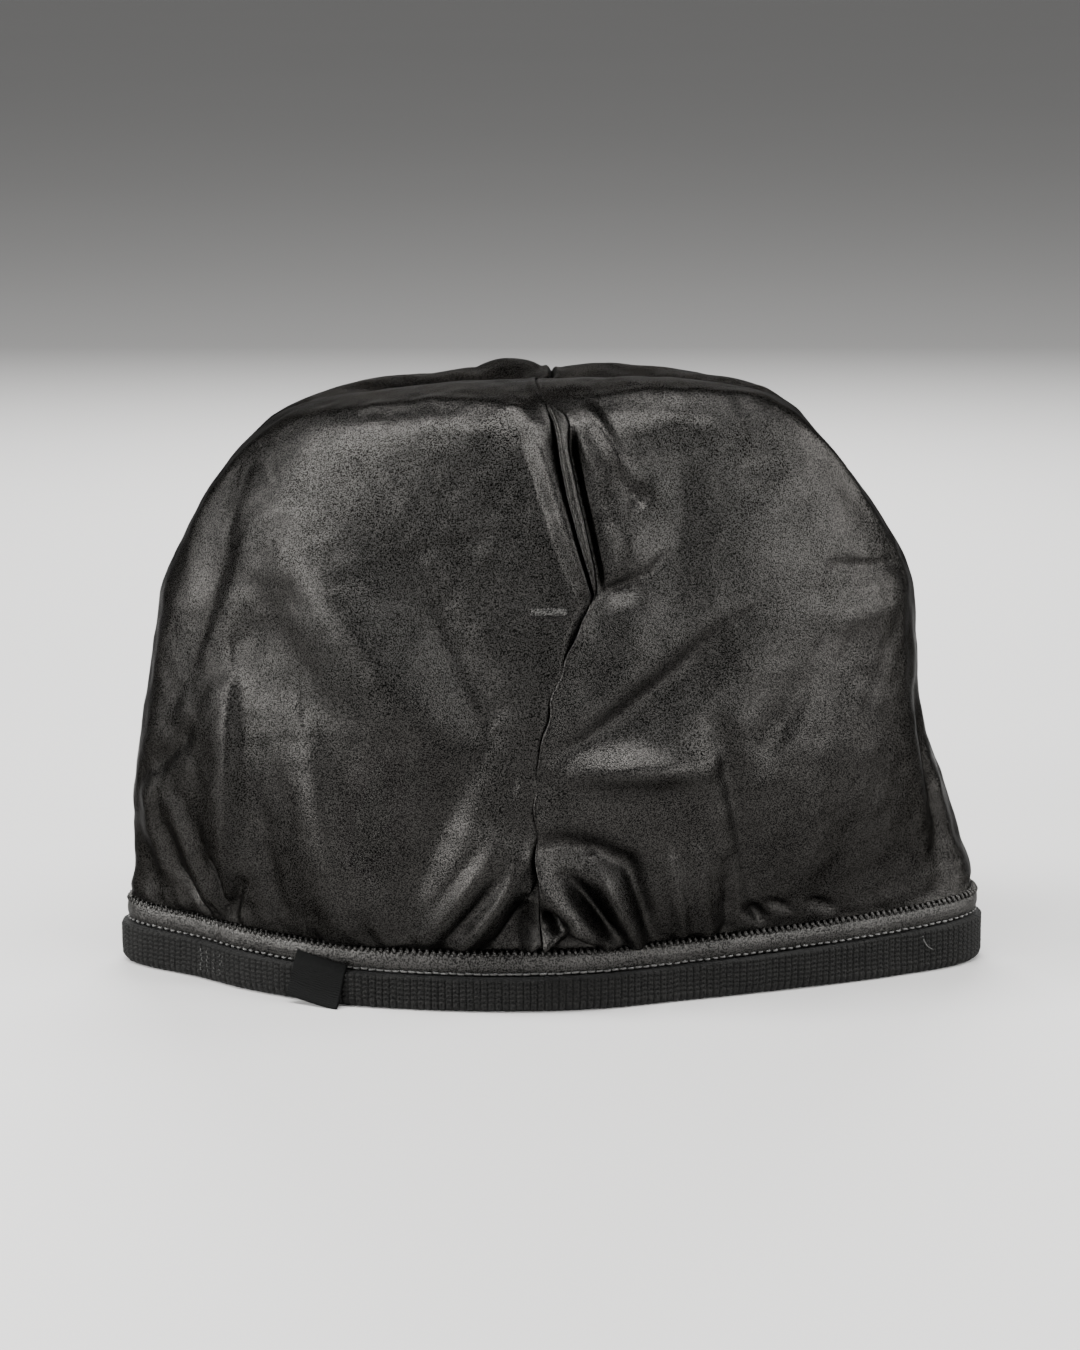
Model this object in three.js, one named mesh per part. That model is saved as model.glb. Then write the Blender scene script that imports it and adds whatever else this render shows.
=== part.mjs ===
// A satin-lined knit beanie turned satin side out and standing on its knit rim.
//
// Millimetres, +Z up, +X to the right and -Y to the front, where the long seam runs up the satin.
// The origin is on the floor, under the middle of the hat's bounding box.
//
// Pieces, from the head outwards:
//   knit_shell      ribbed knit beanie, one wall from the rim to the top of the crown; its turned
//                   rim is the thick band that shows under the satin and carries the hat
//   satin_left      left half of the satin lining, from the front seam over the crown to the back
//   satin_right     right half of the same lining
//   hem_binding     padded satin roll that joins the lining to the knit, all round the rim
//   hem_label       small folded woven label that hangs from the binding over the knit band
import * as THREE from "three";

// ---- Driving sizes --------------------------------------------------------------------------

const RIM_HALF_WIDTH = 125.4; // outer face of the knit band, side to side
const RIM_HALF_DEPTH = 53; // the same, front to back, before the rim's own waves
const RIM_CENTRE_Y = 4; // the rim's middle sits a little behind the body's
const BAND_HEIGHT = 10; // knit band below the binding, at the front
const BAND_THICKNESS = 5; // the knit is turned up double here
const BAND_FOOT_ROUND = 2; // rounding of the band's outer bottom edge
const BAND_TOP_ROUND = 1.2; // and of its top edge, under the binding
const BINDING_HEIGHT = 7.4; // satin roll above the band
const BINDING_THICKNESS = 2.9;
const BINDING_INSET = 1.2; // the band stands proud of the roll
const HEM_RISE_AT_SIDES = 3; // the band is deeper at the sides than at the front
const HEM_TILT = 0.8; // and a little deeper again on the right
const SATIN_THICKNESS = 1.5;
const KNIT_THICKNESS = 2.6;
const PIECE_GAP = 0.35; // clearance between pieces that touch
const SEAM_TURN_IN = 2.2; // the halves' edges turn in this far along the seam
const SEAM_TURN_WIDTH = 2.4; // over this much of the cloth
const HALF_COLUMNS = 24; // grid columns round each half, closer together at the front seam
const COLUMN_CROWDING = 1.35;

const LABEL_WIDTH = 19.2;
const LABEL_THICKNESS = 0.9;
const LABEL_ANGLE = -Math.PI / 2 - 0.568; // its middle, round the rim from the right side
const LABEL_RIM_RADIUS = 118; // the rim's length for each radian there

// Down the label's front face: how far it stands out of the rim, and its height.
const LABEL_DROP = [
  { out: -0.7, z: 11.0 },
  { out: 1.0, z: 10.3 },
  { out: 1.5, z: 8.6 },
  { out: 1.8, z: 5.6 },
  { out: 2.6, z: 2.8 },
  { out: 4.4, z: 0.4 },
];

// ---- Shape tables ---------------------------------------------------------------------------

// How far the rim reaches along 16 evenly spaced bearings, as a share of the rim's oval. They
// start at the front and go round by the right side.
const RIM_REACH = [
  { bearing: "front", reach: 0.995 },
  { bearing: "front, front right", reach: 0.845 },
  { bearing: "front right", reach: 0.8 },
  { bearing: "right, front right", reach: 0.865 },
  { bearing: "right", reach: 0.997 },
  { bearing: "right, back right", reach: 1.045 },
  { bearing: "back right", reach: 1.04 },
  { bearing: "back, back right", reach: 1.02 },
  { bearing: "back", reach: 1.0 },
  { bearing: "back, back left", reach: 1.01 },
  { bearing: "back left", reach: 1.0 },
  { bearing: "left, back left", reach: 1.01 },
  { bearing: "left", reach: 1.0 },
  { bearing: "left, front left", reach: 0.895 },
  { bearing: "front left", reach: 0.93 },
  { bearing: "front, front left", reach: 1.01 },
];

// Level sections of the satin's outer face, from the hem to the top of the crown. The four
// reaches are from the hat's middle; square is the oval's exponent, 2 for a plain ellipse. The
// crown's sections rise above their height z at the front, and are lower at the back.
const SECTIONS = [
  { z: 17.5, frontRise: 0, backRise: 0, left: 122.6, right: 122.6, front: 46.4, back: 54.4, square: 2 },
  { z: 21, frontRise: 0, backRise: 0, left: 123.6, right: 123, front: 49.6, back: 57.4, square: 2 },
  { z: 27, frontRise: 0, backRise: 0, left: 122.4, right: 121.3, front: 52.6, back: 59.2, square: 2 },
  { z: 34, frontRise: 0, backRise: 0, left: 122.2, right: 118.9, front: 54.4, back: 59.9, square: 2 },
  { z: 43, frontRise: 0, backRise: 0, left: 122.2, right: 116.4, front: 55.9, back: 60.3, square: 2 },
  { z: 54, frontRise: 0, backRise: 0, left: 121.6, right: 113.6, front: 57.1, back: 60.5, square: 2.02 },
  { z: 67, frontRise: 0, backRise: 0, left: 119.6, right: 109.8, front: 58.1, back: 60.6, square: 2.05 },
  { z: 82, frontRise: 0, backRise: 0, left: 117.6, right: 106.8, front: 58.8, back: 60.4, square: 2.1 },
  { z: 96, frontRise: -1, backRise: -1, left: 115.7, right: 105.4, front: 59.1, back: 60.1, square: 2.12 },
  { z: 107, frontRise: -2.5, backRise: -2.5, left: 114, right: 104.7, front: 59.1, back: 59.7, square: 2.15 },
  { z: 114.6, frontRise: -1.6, backRise: -1.6, left: 113, right: 104, front: 58.4, back: 58.8, square: 2.2 },
  { z: 121, frontRise: 1, backRise: 0.5, left: 110.2, right: 102, front: 57, back: 57.4, square: 2.25 },
  { z: 131, frontRise: 2.5, backRise: 1, left: 104.6, right: 96.4, front: 54.4, back: 54.8, square: 2.35 },
  { z: 141, frontRise: 3.5, backRise: 1, left: 98.4, right: 89.4, front: 51, back: 51.4, square: 2.45 },
  { z: 150, frontRise: 4, backRise: 1, left: 91.9, right: 82.4, front: 47.2, back: 47.8, square: 2.55 },
  { z: 158, frontRise: 4, backRise: 1, left: 85, right: 75.6, front: 42.8, back: 43.6, square: 2.62 },
  { z: 165.5, frontRise: 3.5, backRise: 0, left: 75.4, right: 69.6, front: 36.8, back: 37.8, square: 2.7 },
  { z: 171, frontRise: 3, backRise: -1, left: 60, right: 61, front: 28.4, back: 30.4, square: 2.7 },
  { z: 172.8, frontRise: 2.6, backRise: -0.8, left: 41, right: 43, front: 19, back: 21, square: 2.6 },
  { z: 173.4, frontRise: 1.4, backRise: -0.6, left: 22, right: 21, front: 9.6, back: 10.6, square: 2.4 },
];
const CROWN_TOP = { x: -1, y: 0, z: 173.4 };

// Where the front seam between the halves runs, by height up the lining. The back one is straight.
const FRONT_SEAM = [
  { height: 18, x: -2.6 },
  { height: 30, x: -3.2 },
  { height: 50, x: -4.1 },
  { height: 64, x: -4.0 },
  { height: 78, x: -2.6 },
  { height: 92, x: 0.8 },
  { height: 104, x: 5.0 },
  { height: 114, x: 8.0 },
  { height: 121, x: 11.2 },
  { height: 126, x: 9.6 },
  { height: 136, x: 6.0 },
  { height: 147, x: 2.8 },
  { height: 158, x: 0.5 },
  { height: 168, x: -1.2 },
  { height: 176, x: -3.0 },
];

// Folds and dents of the satin. Each runs along a bowed line seen from one side of the hat:
// "front" and "back" are placed by x and z, "left" and "right" by y and z, "top" by x and y.
// height is out of the cloth where positive, and half is the half of the lining that it lies on.
const FOLDS = [
  // The front dart: a stiff fold stands beside the seam, with a hollow to its right.
  { face: "front", half: "left", from: [7, 128], via: [0, 146], to: [-5, 167], width: 4.5, height: 2.4 },
  { face: "front", half: "right", from: [12.6, 124], via: [7, 142], to: [3.6, 166], width: 2.6, height: 4.4 },
  { face: "front", half: "right", from: [16, 126], via: [12, 142], to: [9, 163], width: 4.4, height: -5.4 },
  { face: "front", half: "right", from: [17, 150], via: [20, 160], to: [12, 172], width: 6, height: 2.2 },
  { face: "front", half: "right", from: [13, 121], via: [19, 124], to: [26, 128], width: 4.2, height: -3 },
  // Folds down the front, where the halves meet.
  { face: "front", half: "right", from: [10, 116], via: [1, 90], to: [0, 34], width: 4.5, height: 1.8 },
  { face: "front", half: "left", from: [4, 114], via: [-5, 86], to: [-8, 40], width: 5, height: -1.4 },
  { face: "front", half: "left", from: [-6, 42], via: [-12, 30], to: [-17, 24], width: 6.5, height: -4.6 },
  { face: "front", half: "right", from: [4, 48], via: [12, 50], to: [22, 44], width: 6, height: -4 },
  // Broad folds of the left and right panels.
  { face: "front", half: "left", from: [-84, 132], via: [-96, 100], to: [-104, 76], width: 5, height: -2.6 },
  { face: "front", half: "left", from: [-66, 124], via: [-54, 98], to: [-52, 84], width: 12, height: 2.4 },
  { face: "front", half: "left", from: [-88, 88], via: [-88, 60], to: [-88, 34], width: 7.5, height: 2.4 },
  { face: "front", half: "left", from: [-64, 66], via: [-60, 40], to: [-54, 26], width: 7, height: 2 },
  { face: "front", half: "left", from: [-22, 78], via: [-36, 56], to: [-40, 30], width: 6, height: -2.6 },
  { face: "front", half: "right", from: [50, 114], via: [28, 92], to: [4, 78], width: 6, height: 2 },
  { face: "front", half: "right", from: [56, 84], via: [58, 60], to: [56, 36], width: 6, height: -2.2 },
  { face: "front", half: "right", from: [26, 54], via: [30, 40], to: [30, 28], width: 5, height: 2.2 },
  // The same kinds of fold behind, plainly.
  { face: "back", half: "left", from: [-3, 126], via: [-6, 90], to: [-2, 34], width: 5, height: -1.6 },
  { face: "back", half: "right", from: [6, 124], via: [8, 90], to: [6, 34], width: 5, height: 1.6 },
  { face: "back", half: "left", from: [-40, 96], via: [-50, 60], to: [-46, 30], width: 8, height: 2.2 },
  { face: "back", half: "left", from: [-74, 120], via: [-84, 80], to: [-80, 40], width: 7, height: -2.4 },
  { face: "back", half: "right", from: [44, 104], via: [54, 70], to: [46, 34], width: 8, height: -2.4 },
  { face: "back", half: "right", from: [80, 90], via: [84, 60], to: [78, 34], width: 7, height: 2.2 },
  // The side darts end in a corner at the top of the straight wall.
  { face: "left", half: "left", from: [0, 118], via: [1, 142], to: [0, 168], width: 4.5, height: -2.6 },
  { face: "right", half: "right", from: [2, 116], via: [1, 140], to: [0, 166], width: 4.5, height: -2.6 },
  // The crown's dip from side to side, and the puff of cloth behind it.
  { face: "top", half: "left", from: [-60, 1], via: [-30, 3], to: [-4, 1], width: 10, height: -6 },
  { face: "top", half: "right", from: [62, 1], via: [32, 3], to: [0, 1], width: 10, height: -6 },
  { face: "top", half: "left", from: [-22, 26], via: [-12, 27], to: [-3, 26], width: 9, height: 4.6 },
  { face: "top", half: "right", from: [2, 27], via: [16, 28], to: [44, 30], width: 10, height: 3.6 },
  { face: "top", half: "right", from: [14, -27], via: [44, -31], to: [76, -24], width: 13, height: 3.6 },
];

// ---- Curves and small maths -----------------------------------------------------------------

const TAU = 2 * Math.PI;
const FRONT = -Math.PI / 2;
const BACK = Math.PI / 2;

const { clamp, euclideanModulo, lerp, mapLinear } = THREE.MathUtils;

/** 0 below low, 1 above high and an even ease between. */
const ease = (low, high, value) => THREE.MathUtils.smoothstep(value, low, high);

/** A bell of height 1 at 0, falling away over width. */
const bell = (away, width) => Math.exp(-((away / width) ** 2));

/** A smooth curve through four evenly spaced values, at share t between the middle two. */
function throughFour(before, start, end, after, t) {
  const slopeIn = (end - before) / 2;
  const slopeOut = (after - start) / 2;
  const t2 = t * t;
  const t3 = t2 * t;
  return (2 * t3 - 3 * t2 + 1) * start + (t3 - 2 * t2 + t) * slopeIn
    + (3 * t2 - 2 * t3) * end + (t3 - t2) * slopeOut;
}

/** One column of the sections, read at a fractional row. */
function readSections(column, level) {
  const last = SECTIONS.length - 1;
  const row = clamp(Math.floor(level), 0, last - 1);
  const value = (i) => SECTIONS[clamp(i, 0, last)][column];
  return throughFour(value(row - 1), value(row), value(row + 1), value(row + 2), level - row);
}

/** The rim's reach at an angle, from the closed table of bearings. */
function rimReach(angle) {
  const count = RIM_REACH.length;
  const at = ((angle - FRONT) / TAU) * count;
  const row = Math.floor(at);
  const value = (i) => RIM_REACH[euclideanModulo(i, count)].reach;
  return throughFour(value(row - 1), value(row), value(row + 1), value(row + 2), at - row);
}

/** x of the front seam at a height, by straight runs between the table's rows. */
function frontSeamX(height) {
  const next = FRONT_SEAM.findIndex((row) => row.height > height);
  if (next < 0) return FRONT_SEAM.at(-1).x;
  if (next === 0) return FRONT_SEAM[0].x;
  const low = FRONT_SEAM[next - 1];
  const high = FRONT_SEAM[next];
  return mapLinear(height, low.height, high.height, low.x, high.x);
}

// ---- The smooth form ------------------------------------------------------------------------

/** How much higher the band's top is at this x than at the front. */
function hemRise(x) {
  const share = x / RIM_HALF_WIDTH;
  return HEM_RISE_AT_SIDES * share * share + HEM_TILT * share;
}

/** The rim's outline at an angle, moved inwards by inset, at height z. */
function rimPoint(angle, inset, z) {
  const outline = (a) => new THREE.Vector2(
    RIM_HALF_WIDTH * rimReach(a) * Math.cos(a),
    RIM_HALF_DEPTH * rimReach(a) * Math.sin(a) + RIM_CENTRE_Y,
  );
  const step = 0.02;
  const along = outline(angle + step).sub(outline(angle - step)).normalize();
  const here = outline(angle);
  return new THREE.Vector3(here.x - along.y * inset, here.y + along.x * inset, z);
}

/** A point of the rim whose height is counted from the top of the knit band. */
function hemPoint(angle, inset, aboveBand) {
  const place = rimPoint(angle, inset, 0);
  return place.setZ(BAND_HEIGHT + hemRise(place.x) + aboveBand);
}

/** The satin's outer face without folds: angle round the hat, level up the sections. */
function smoothSatin(angle, level) {
  const [left, right, front, back] = ["left", "right", "front", "back"].map(
    (column) => readSections(column, level),
  );
  const square = readSections("square", level);
  const cos = Math.cos(angle);
  const sin = Math.sin(angle);
  const rise = readSections(sin < 0 ? "frontRise" : "backRise", level);
  const z = readSections("z", level) + rise * sin * sin;
  const oval = (Math.abs(cos) ** square + Math.abs(sin) ** square) ** (-1 / square);
  const reach = lerp(rimReach(angle), oval, ease(20, 78, z));
  const x = (right - left) / 2 + ((left + right) / 2) * cos * reach;
  const y = (back - front) / 2 + ((front + back) / 2) * sin * reach;
  return new THREE.Vector3(x, y, z + hemRise(x) * (1 - ease(20, 60, z)));
}

/** The outward normal of the smooth satin. */
function satinNormal(angle, level) {
  const turn = 0.01;
  const rise = 0.05;
  const around = smoothSatin(angle + turn, level).sub(smoothSatin(angle - turn, level));
  const up = smoothSatin(angle, level + rise).sub(smoothSatin(angle, level - rise));
  return around.cross(up).normalize();
}

/** The angle of the front seam at a level; over the crown it runs straight to the top. */
function frontSeamAngle(level) {
  const left = readSections("left", level);
  const right = readSections("right", level);
  const height = readSections("z", level) + readSections("frontRise", level);
  const offset = frontSeamX(height) - (right - left) / 2;
  const straight = 1 - ease(SECTIONS.length - 4, SECTIONS.length - 1, level);
  return FRONT + Math.asin(clamp((2 * offset * straight) / (left + right), -1, 1));
}

// ---- Folds ----------------------------------------------------------------------------------

const FACES = {
  front: { across: "x", up: "z", outward: new THREE.Vector3(0, -1, 0) },
  back: { across: "x", up: "z", outward: new THREE.Vector3(0, 1, 0) },
  left: { across: "y", up: "z", outward: new THREE.Vector3(-1, 0, 0) },
  right: { across: "y", up: "z", outward: new THREE.Vector3(1, 0, 0) },
  top: { across: "x", up: "y", outward: new THREE.Vector3(0, 0, 1) },
};
const FOLD_RUNS = 10; // straight runs that follow each fold over the cloth

/** Points all over the smooth satin, with their normals, for laying folds on it. */
function satinSamples() {
  const turns = 180;
  const perLevel = 5;
  const samples = [];
  for (let step = 0; step <= (SECTIONS.length - 1) * perLevel; step += 1) {
    for (let turn = 0; turn < turns; turn += 1) {
      const angle = (turn / turns) * TAU;
      const level = step / perLevel;
      samples.push({ point: smoothSatin(angle, level), normal: satinNormal(angle, level) });
    }
  }
  return samples;
}

/** The point of the satin at a place of one face, seen square on. */
function placeOnSatin(samples, face, place) {
  const { across, up, outward } = FACES[face];
  const leastFacing = 0.35;
  let nearest = null;
  let least = Infinity;
  for (const { point, normal } of samples) {
    const miss = Math.hypot(point[across] - place.x, point[up] - place.y);
    if (miss < least && normal.dot(outward) > leastFacing) {
      least = miss;
      nearest = point;
    }
  }
  return nearest;
}

/** Every fold with its path over the cloth. */
function layFolds() {
  const samples = satinSamples();
  return FOLDS.map((fold) => {
    const corners = [fold.from, fold.via, fold.to].map(([x, y]) => new THREE.Vector2(x, y));
    const bow = new THREE.QuadraticBezierCurve(...corners).getPoints(FOLD_RUNS);
    return { ...fold, path: bow.map((place) => placeOnSatin(samples, fold.face, place)) };
  });
}

const LAID_FOLDS = layFolds();

/** The nearest place of a fold to a point: how far away, and its share of the way along. */
function nearestOnFold(fold, point) {
  const nearest = new THREE.Vector3();
  let away = Infinity;
  let share = 0;
  for (let i = 0; i < FOLD_RUNS; i += 1) {
    const run = new THREE.Line3(fold.path[i], fold.path[i + 1]);
    const t = run.closestPointToPointParameter(point, true);
    const distance = run.at(t, nearest).distanceTo(point);
    if (distance < away) {
      away = distance;
      share = (i + t) / FOLD_RUNS;
    }
  }
  return { away, share };
}

/** Height of all the folds of one half at a point of the smooth satin. */
function foldHeight(point, half) {
  let total = 0;
  for (const fold of LAID_FOLDS) {
    if (fold.half !== half) continue;
    const { away, share } = nearestOnFold(fold, point);
    const endTaper = Math.sin(Math.PI * lerp(0.07, 0.93, share)) ** 0.6;
    total += fold.height * endTaper * bell(away, fold.width);
  }
  return total;
}

// ---- The satin's grid -----------------------------------------------------------------------

/**
 * One half of the lining as rows of places, from the hem to the crown. Each row runs from the
 * front seam to the back one; height is how far the cloth stands off the smooth form there.
 */
function layHalf(half) {
  const sign = half === "right" ? 1 : -1;
  return SECTIONS.map((_, level) => {
    const front = frontSeamAngle(level);
    const span = sign > 0 ? BACK - front : front - BACK + TAU;
    const seams = [smoothSatin(front, level), smoothSatin(BACK, level)];
    const row = [];
    for (let column = 0; column <= HALF_COLUMNS; column += 1) {
      const angle = front + sign * span * (column / HALF_COLUMNS) ** COLUMN_CROWDING;
      const base = smoothSatin(angle, level);
      const fromSeam = Math.min(...seams.map((seam) => seam.distanceTo(base)));
      const turnIn = SEAM_TURN_IN * bell(fromSeam, SEAM_TURN_WIDTH);
      const height = (foldHeight(base, half) - turnIn) * ease(0, 2, level);
      row.push({ angle, base, normal: satinNormal(angle, level), height });
    }
    return row;
  });
}

const LINING = { left: layHalf("left"), right: layHalf("right") };

/** A place of the grid moved along its normal. */
const standOff = ({ base, normal }, height) => base.clone().addScaledVector(normal, height);

/** One full turn at a level: from the front seam by the right to the back, and on by the left. */
function fullTurn(level) {
  const right = LINING.right[level];
  const left = LINING.left[level];
  const turn = [...right, ...left.slice(1, -1).reverse()];
  const lower = (a, b) => ({ ...a, height: Math.min(a.height, b.height) });
  turn[0] = lower(right[0], left[0]);
  turn[HALF_COLUMNS] = lower(right[HALF_COLUMNS], left[HALF_COLUMNS]);
  return turn;
}

// ---- Closed solids from grids of points -----------------------------------------------------

/** Numbers a grid's points; a row of one point is shared by all of the row's columns. */
function numberGrid(grid, points, columns) {
  const number = (point) => points.push(point) - 1;
  return grid.map((row) => (
    row.length === 1 ? new Array(columns).fill(number(row[0])) : row.map(number)
  ));
}

/** Two triangles for each cell of a grid of point numbers. */
function gridTriangles(rows) {
  const triangles = [];
  for (let j = 0; j + 1 < rows.length; j += 1) {
    for (let i = 0; i + 1 < rows[j].length; i += 1) {
      const [a, b, c, d] = [rows[j][i], rows[j][i + 1], rows[j + 1][i + 1], rows[j + 1][i]];
      if (a !== b) triangles.push(a, b, c);
      if (c !== d) triangles.push(a, c, d);
    }
  }
  return triangles;
}

/** A geometry from points and triangles. */
function geometryOf(points, triangles) {
  const geometry = new THREE.BufferGeometry().setFromPoints(points);
  geometry.setIndex(triangles);
  geometry.computeVertexNormals();
  return geometry;
}

/** A wall closed round the hat, whose first and last rows are single points. */
function roundWall(grid) {
  const points = [];
  const rows = numberGrid(grid, points, 2 * HALF_COLUMNS);
  return geometryOf(points, gridTriangles(rows.map((row) => [...row, row[0]])));
}

/** A ring of closed sections, joined one to the next round the hat. */
function sectionRing(sections) {
  const points = [];
  const rows = numberGrid(sections, points).map((row) => [...row, row[0]]);
  return geometryOf(points, gridTriangles([...rows, rows[0]]));
}

/** A closed sheet between the rows of its face and the same rows of its back. */
function sheet(face, back) {
  const points = [];
  const columns = face[0].length;
  const faceRows = numberGrid(face, points, columns);
  const backRows = numberGrid(back, points, columns);
  const side = (rows, column) => rows.map((row) => row[column]);
  return geometryOf(points, [
    ...gridTriangles(faceRows),
    ...gridTriangles(backRows).reverse(), // turned over, so that the back faces in
    ...gridTriangles([backRows[0], faceRows[0]]),
    ...gridTriangles([faceRows.at(-1), backRows.at(-1)]),
    ...gridTriangles([side(faceRows, 0), side(backRows, 0)]),
    ...gridTriangles([side(backRows, columns - 1), side(faceRows, columns - 1)]),
  ]);
}

// ---- Pieces ---------------------------------------------------------------------------------

/** One half of the satin lining. */
function satinHalf(half) {
  const sign = half === "right" ? 1 : -1;
  const seamGap = (sign * PIECE_GAP) / 2;
  const top = new THREE.Vector3(CROWN_TOP.x + 2 * seamGap, CROWN_TOP.y, CROWN_TOP.z - SEAM_TURN_IN);
  const surface = (depth) => {
    const rows = LINING[half].map((row) => {
      const points = row.map((place) => standOff(place, place.height - depth));
      points[0].x += seamGap;
      points[HALF_COLUMNS].x += seamGap;
      return sign > 0 ? points : points.reverse();
    });
    return [...rows, [top.clone().setZ(top.z - depth)]];
  };
  return sheet(surface(0), surface(SATIN_THICKNESS));
}

/** The knit beanie: a turned band at the rim and one wall over the crown. */
function knitShell() {
  const angles = fullTurn(0).map(({ angle }) => angle);
  const rim = (inset, z) => angles.map((angle) => rimPoint(angle, inset, z));
  const hem = (inset, above) => angles.map((angle) => hemPoint(angle, inset, above));
  const clearance = SATIN_THICKNESS + PIECE_GAP;
  const wall = (level, depth) => fullTurn(level).map((place) => (
    standOff(place, Math.min(place.height, 0) - clearance - depth)
  ));
  const crown = (depth) => {
    const top = CROWN_TOP.z - SEAM_TURN_IN - clearance - depth;
    return [new THREE.Vector3(CROWN_TOP.x, CROWN_TOP.y, top)];
  };
  const levels = SECTIONS.map((_, level) => level);
  const behindBinding = BINDING_INSET + BINDING_THICKNESS + PIECE_GAP;
  return roundWall([
    crown(KNIT_THICKNESS),
    ...levels.map((level) => wall(level, KNIT_THICKNESS)).reverse(),
    hem(behindBinding + KNIT_THICKNESS, BINDING_HEIGHT / 2),
    rim(BAND_THICKNESS, BAND_THICKNESS),
    rim(BAND_THICKNESS, 1),
    rim(BAND_THICKNESS - 1, 0),
    rim(BAND_FOOT_ROUND, 0),
    rim(BAND_FOOT_ROUND * 0.3, BAND_FOOT_ROUND * 0.3),
    rim(0, BAND_FOOT_ROUND * 1.4),
    hem(0, -BAND_TOP_ROUND * 2),
    hem(BAND_TOP_ROUND * 0.3, -BAND_TOP_ROUND * 0.6),
    hem(BAND_TOP_ROUND, 0),
    hem(behindBinding, 0),
    hem(behindBinding, BINDING_HEIGHT),
    ...levels.map((level) => wall(level, 0)),
    crown(0),
  ]);
}

/** The satin roll over the join, a padded section swept round the rim. */
function hemBinding() {
  const back = BINDING_INSET + BINDING_THICKNESS;
  const middle = BINDING_INSET + BINDING_THICKNESS / 2;
  // The roll's section, up the back and down the front.
  const section = [
    { inset: back, above: PIECE_GAP + 0.5 },
    { inset: back, above: BINDING_HEIGHT - 1 },
    { inset: middle, above: BINDING_HEIGHT - PIECE_GAP },
    { inset: BINDING_INSET + 0.6, above: BINDING_HEIGHT - 1 },
    { inset: BINDING_INSET, above: BINDING_HEIGHT * 0.6 },
    { inset: BINDING_INSET, above: BINDING_HEIGHT * 0.35 },
    { inset: BINDING_INSET + 0.6, above: PIECE_GAP + 0.3 },
    { inset: middle, above: PIECE_GAP },
  ];
  return sectionRing(fullTurn(0).map(({ angle }) => (
    section.map(({ inset, above }) => hemPoint(angle, inset, above))
  )));
}

/** The folded label: out from under the binding, down over the band and flared at its foot. */
function hemLabel() {
  const strips = 5;
  const span = LABEL_WIDTH / LABEL_RIM_RADIUS;
  const place = (across, inset, z) => rimPoint(LABEL_ANGLE + (across - 0.5) * span, inset, z);
  const surface = (depth) => LABEL_DROP.map(({ out, z }) => {
    const row = [];
    for (let i = 0; i <= strips; i += 1) row.push(place(i / strips, depth - out, z));
    return row;
  }).reverse();
  return sheet(surface(0), surface(LABEL_THICKNESS));
}

// ---- Materials and assembly -----------------------------------------------------------------

const satin = new THREE.MeshStandardMaterial({ color: 0x1c1b1b, roughness: 0.38, metalness: 0 });
const knit = new THREE.MeshStandardMaterial({ color: 0x161616, roughness: 0.95, metalness: 0 });
const woven = new THREE.MeshStandardMaterial({ color: 0x222322, roughness: 0.8, metalness: 0 });

const beanie = new THREE.Group();

/** Adds a named piece to the hat. */
function addPiece(name, geometry, material) {
  const mesh = new THREE.Mesh(geometry, material);
  mesh.name = name;
  beanie.add(mesh);
}

addPiece("knit_shell", knitShell(), knit);
addPiece("satin_left", satinHalf("left"), satin);
addPiece("satin_right", satinHalf("right"), satin);
addPiece("hem_binding", hemBinding(), satin);
addPiece("hem_label", hemLabel(), woven);

// The middle of the hat's box stands over the origin.
const middle = new THREE.Box3().setFromObject(beanie).getCenter(new THREE.Vector3());
beanie.position.set(-middle.x, -middle.y, 0);

export default beanie;
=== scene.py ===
"""A satin-lined knit beanie, turned satin side out and standing on its knit rim.

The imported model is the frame: it says where each piece stands. This script makes what is seen
of every piece: two halves of satin lining with their folds, the padded roll and its stitching,
the knit band and body, the small folded tab, the bar tack and a few loose threads.

Sizes are in millimetres in the hat's own frame: +Z up, +X to the right and -Y to the front,
where the long seam runs. Hat.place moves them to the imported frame, in metres.
"""

import logging
import math
from dataclasses import dataclass
from enum import Enum

import bpy
import numpy as np
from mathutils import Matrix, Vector


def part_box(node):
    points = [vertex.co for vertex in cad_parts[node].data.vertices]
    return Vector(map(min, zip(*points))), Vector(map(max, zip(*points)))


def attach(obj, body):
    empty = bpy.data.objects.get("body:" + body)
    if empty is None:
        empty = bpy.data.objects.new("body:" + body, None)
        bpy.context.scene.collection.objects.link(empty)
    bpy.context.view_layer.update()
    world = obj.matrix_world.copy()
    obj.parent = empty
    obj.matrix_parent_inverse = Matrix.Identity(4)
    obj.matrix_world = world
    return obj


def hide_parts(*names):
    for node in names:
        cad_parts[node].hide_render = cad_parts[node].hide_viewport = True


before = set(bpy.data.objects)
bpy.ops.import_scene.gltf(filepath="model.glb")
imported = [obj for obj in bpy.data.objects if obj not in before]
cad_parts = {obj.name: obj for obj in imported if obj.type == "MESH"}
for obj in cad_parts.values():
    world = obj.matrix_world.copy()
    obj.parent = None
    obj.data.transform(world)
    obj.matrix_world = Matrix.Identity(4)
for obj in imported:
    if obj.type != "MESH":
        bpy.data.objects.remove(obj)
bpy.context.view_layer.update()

log = logging.getLogger("beanie")
logging.basicConfig(level=logging.INFO, format="%(name)s: %(message)s")

MM = 0.001
# Cloth coordinates are in centimetres, and sizes in millimetres.
CM = 10
SEED = 11
# Places along a curve that is measured or searched.
FINE = 4001
FRONT = -math.pi / 2
BACK = math.pi / 2

Points = np.ndarray
Place = tuple[float, float]
Triple = tuple[float, float, float]
Colour = Triple
Socket = bpy.types.NodeSocket


# ---- Tables of the hat's shape ----------------------------------------------------------------


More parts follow.
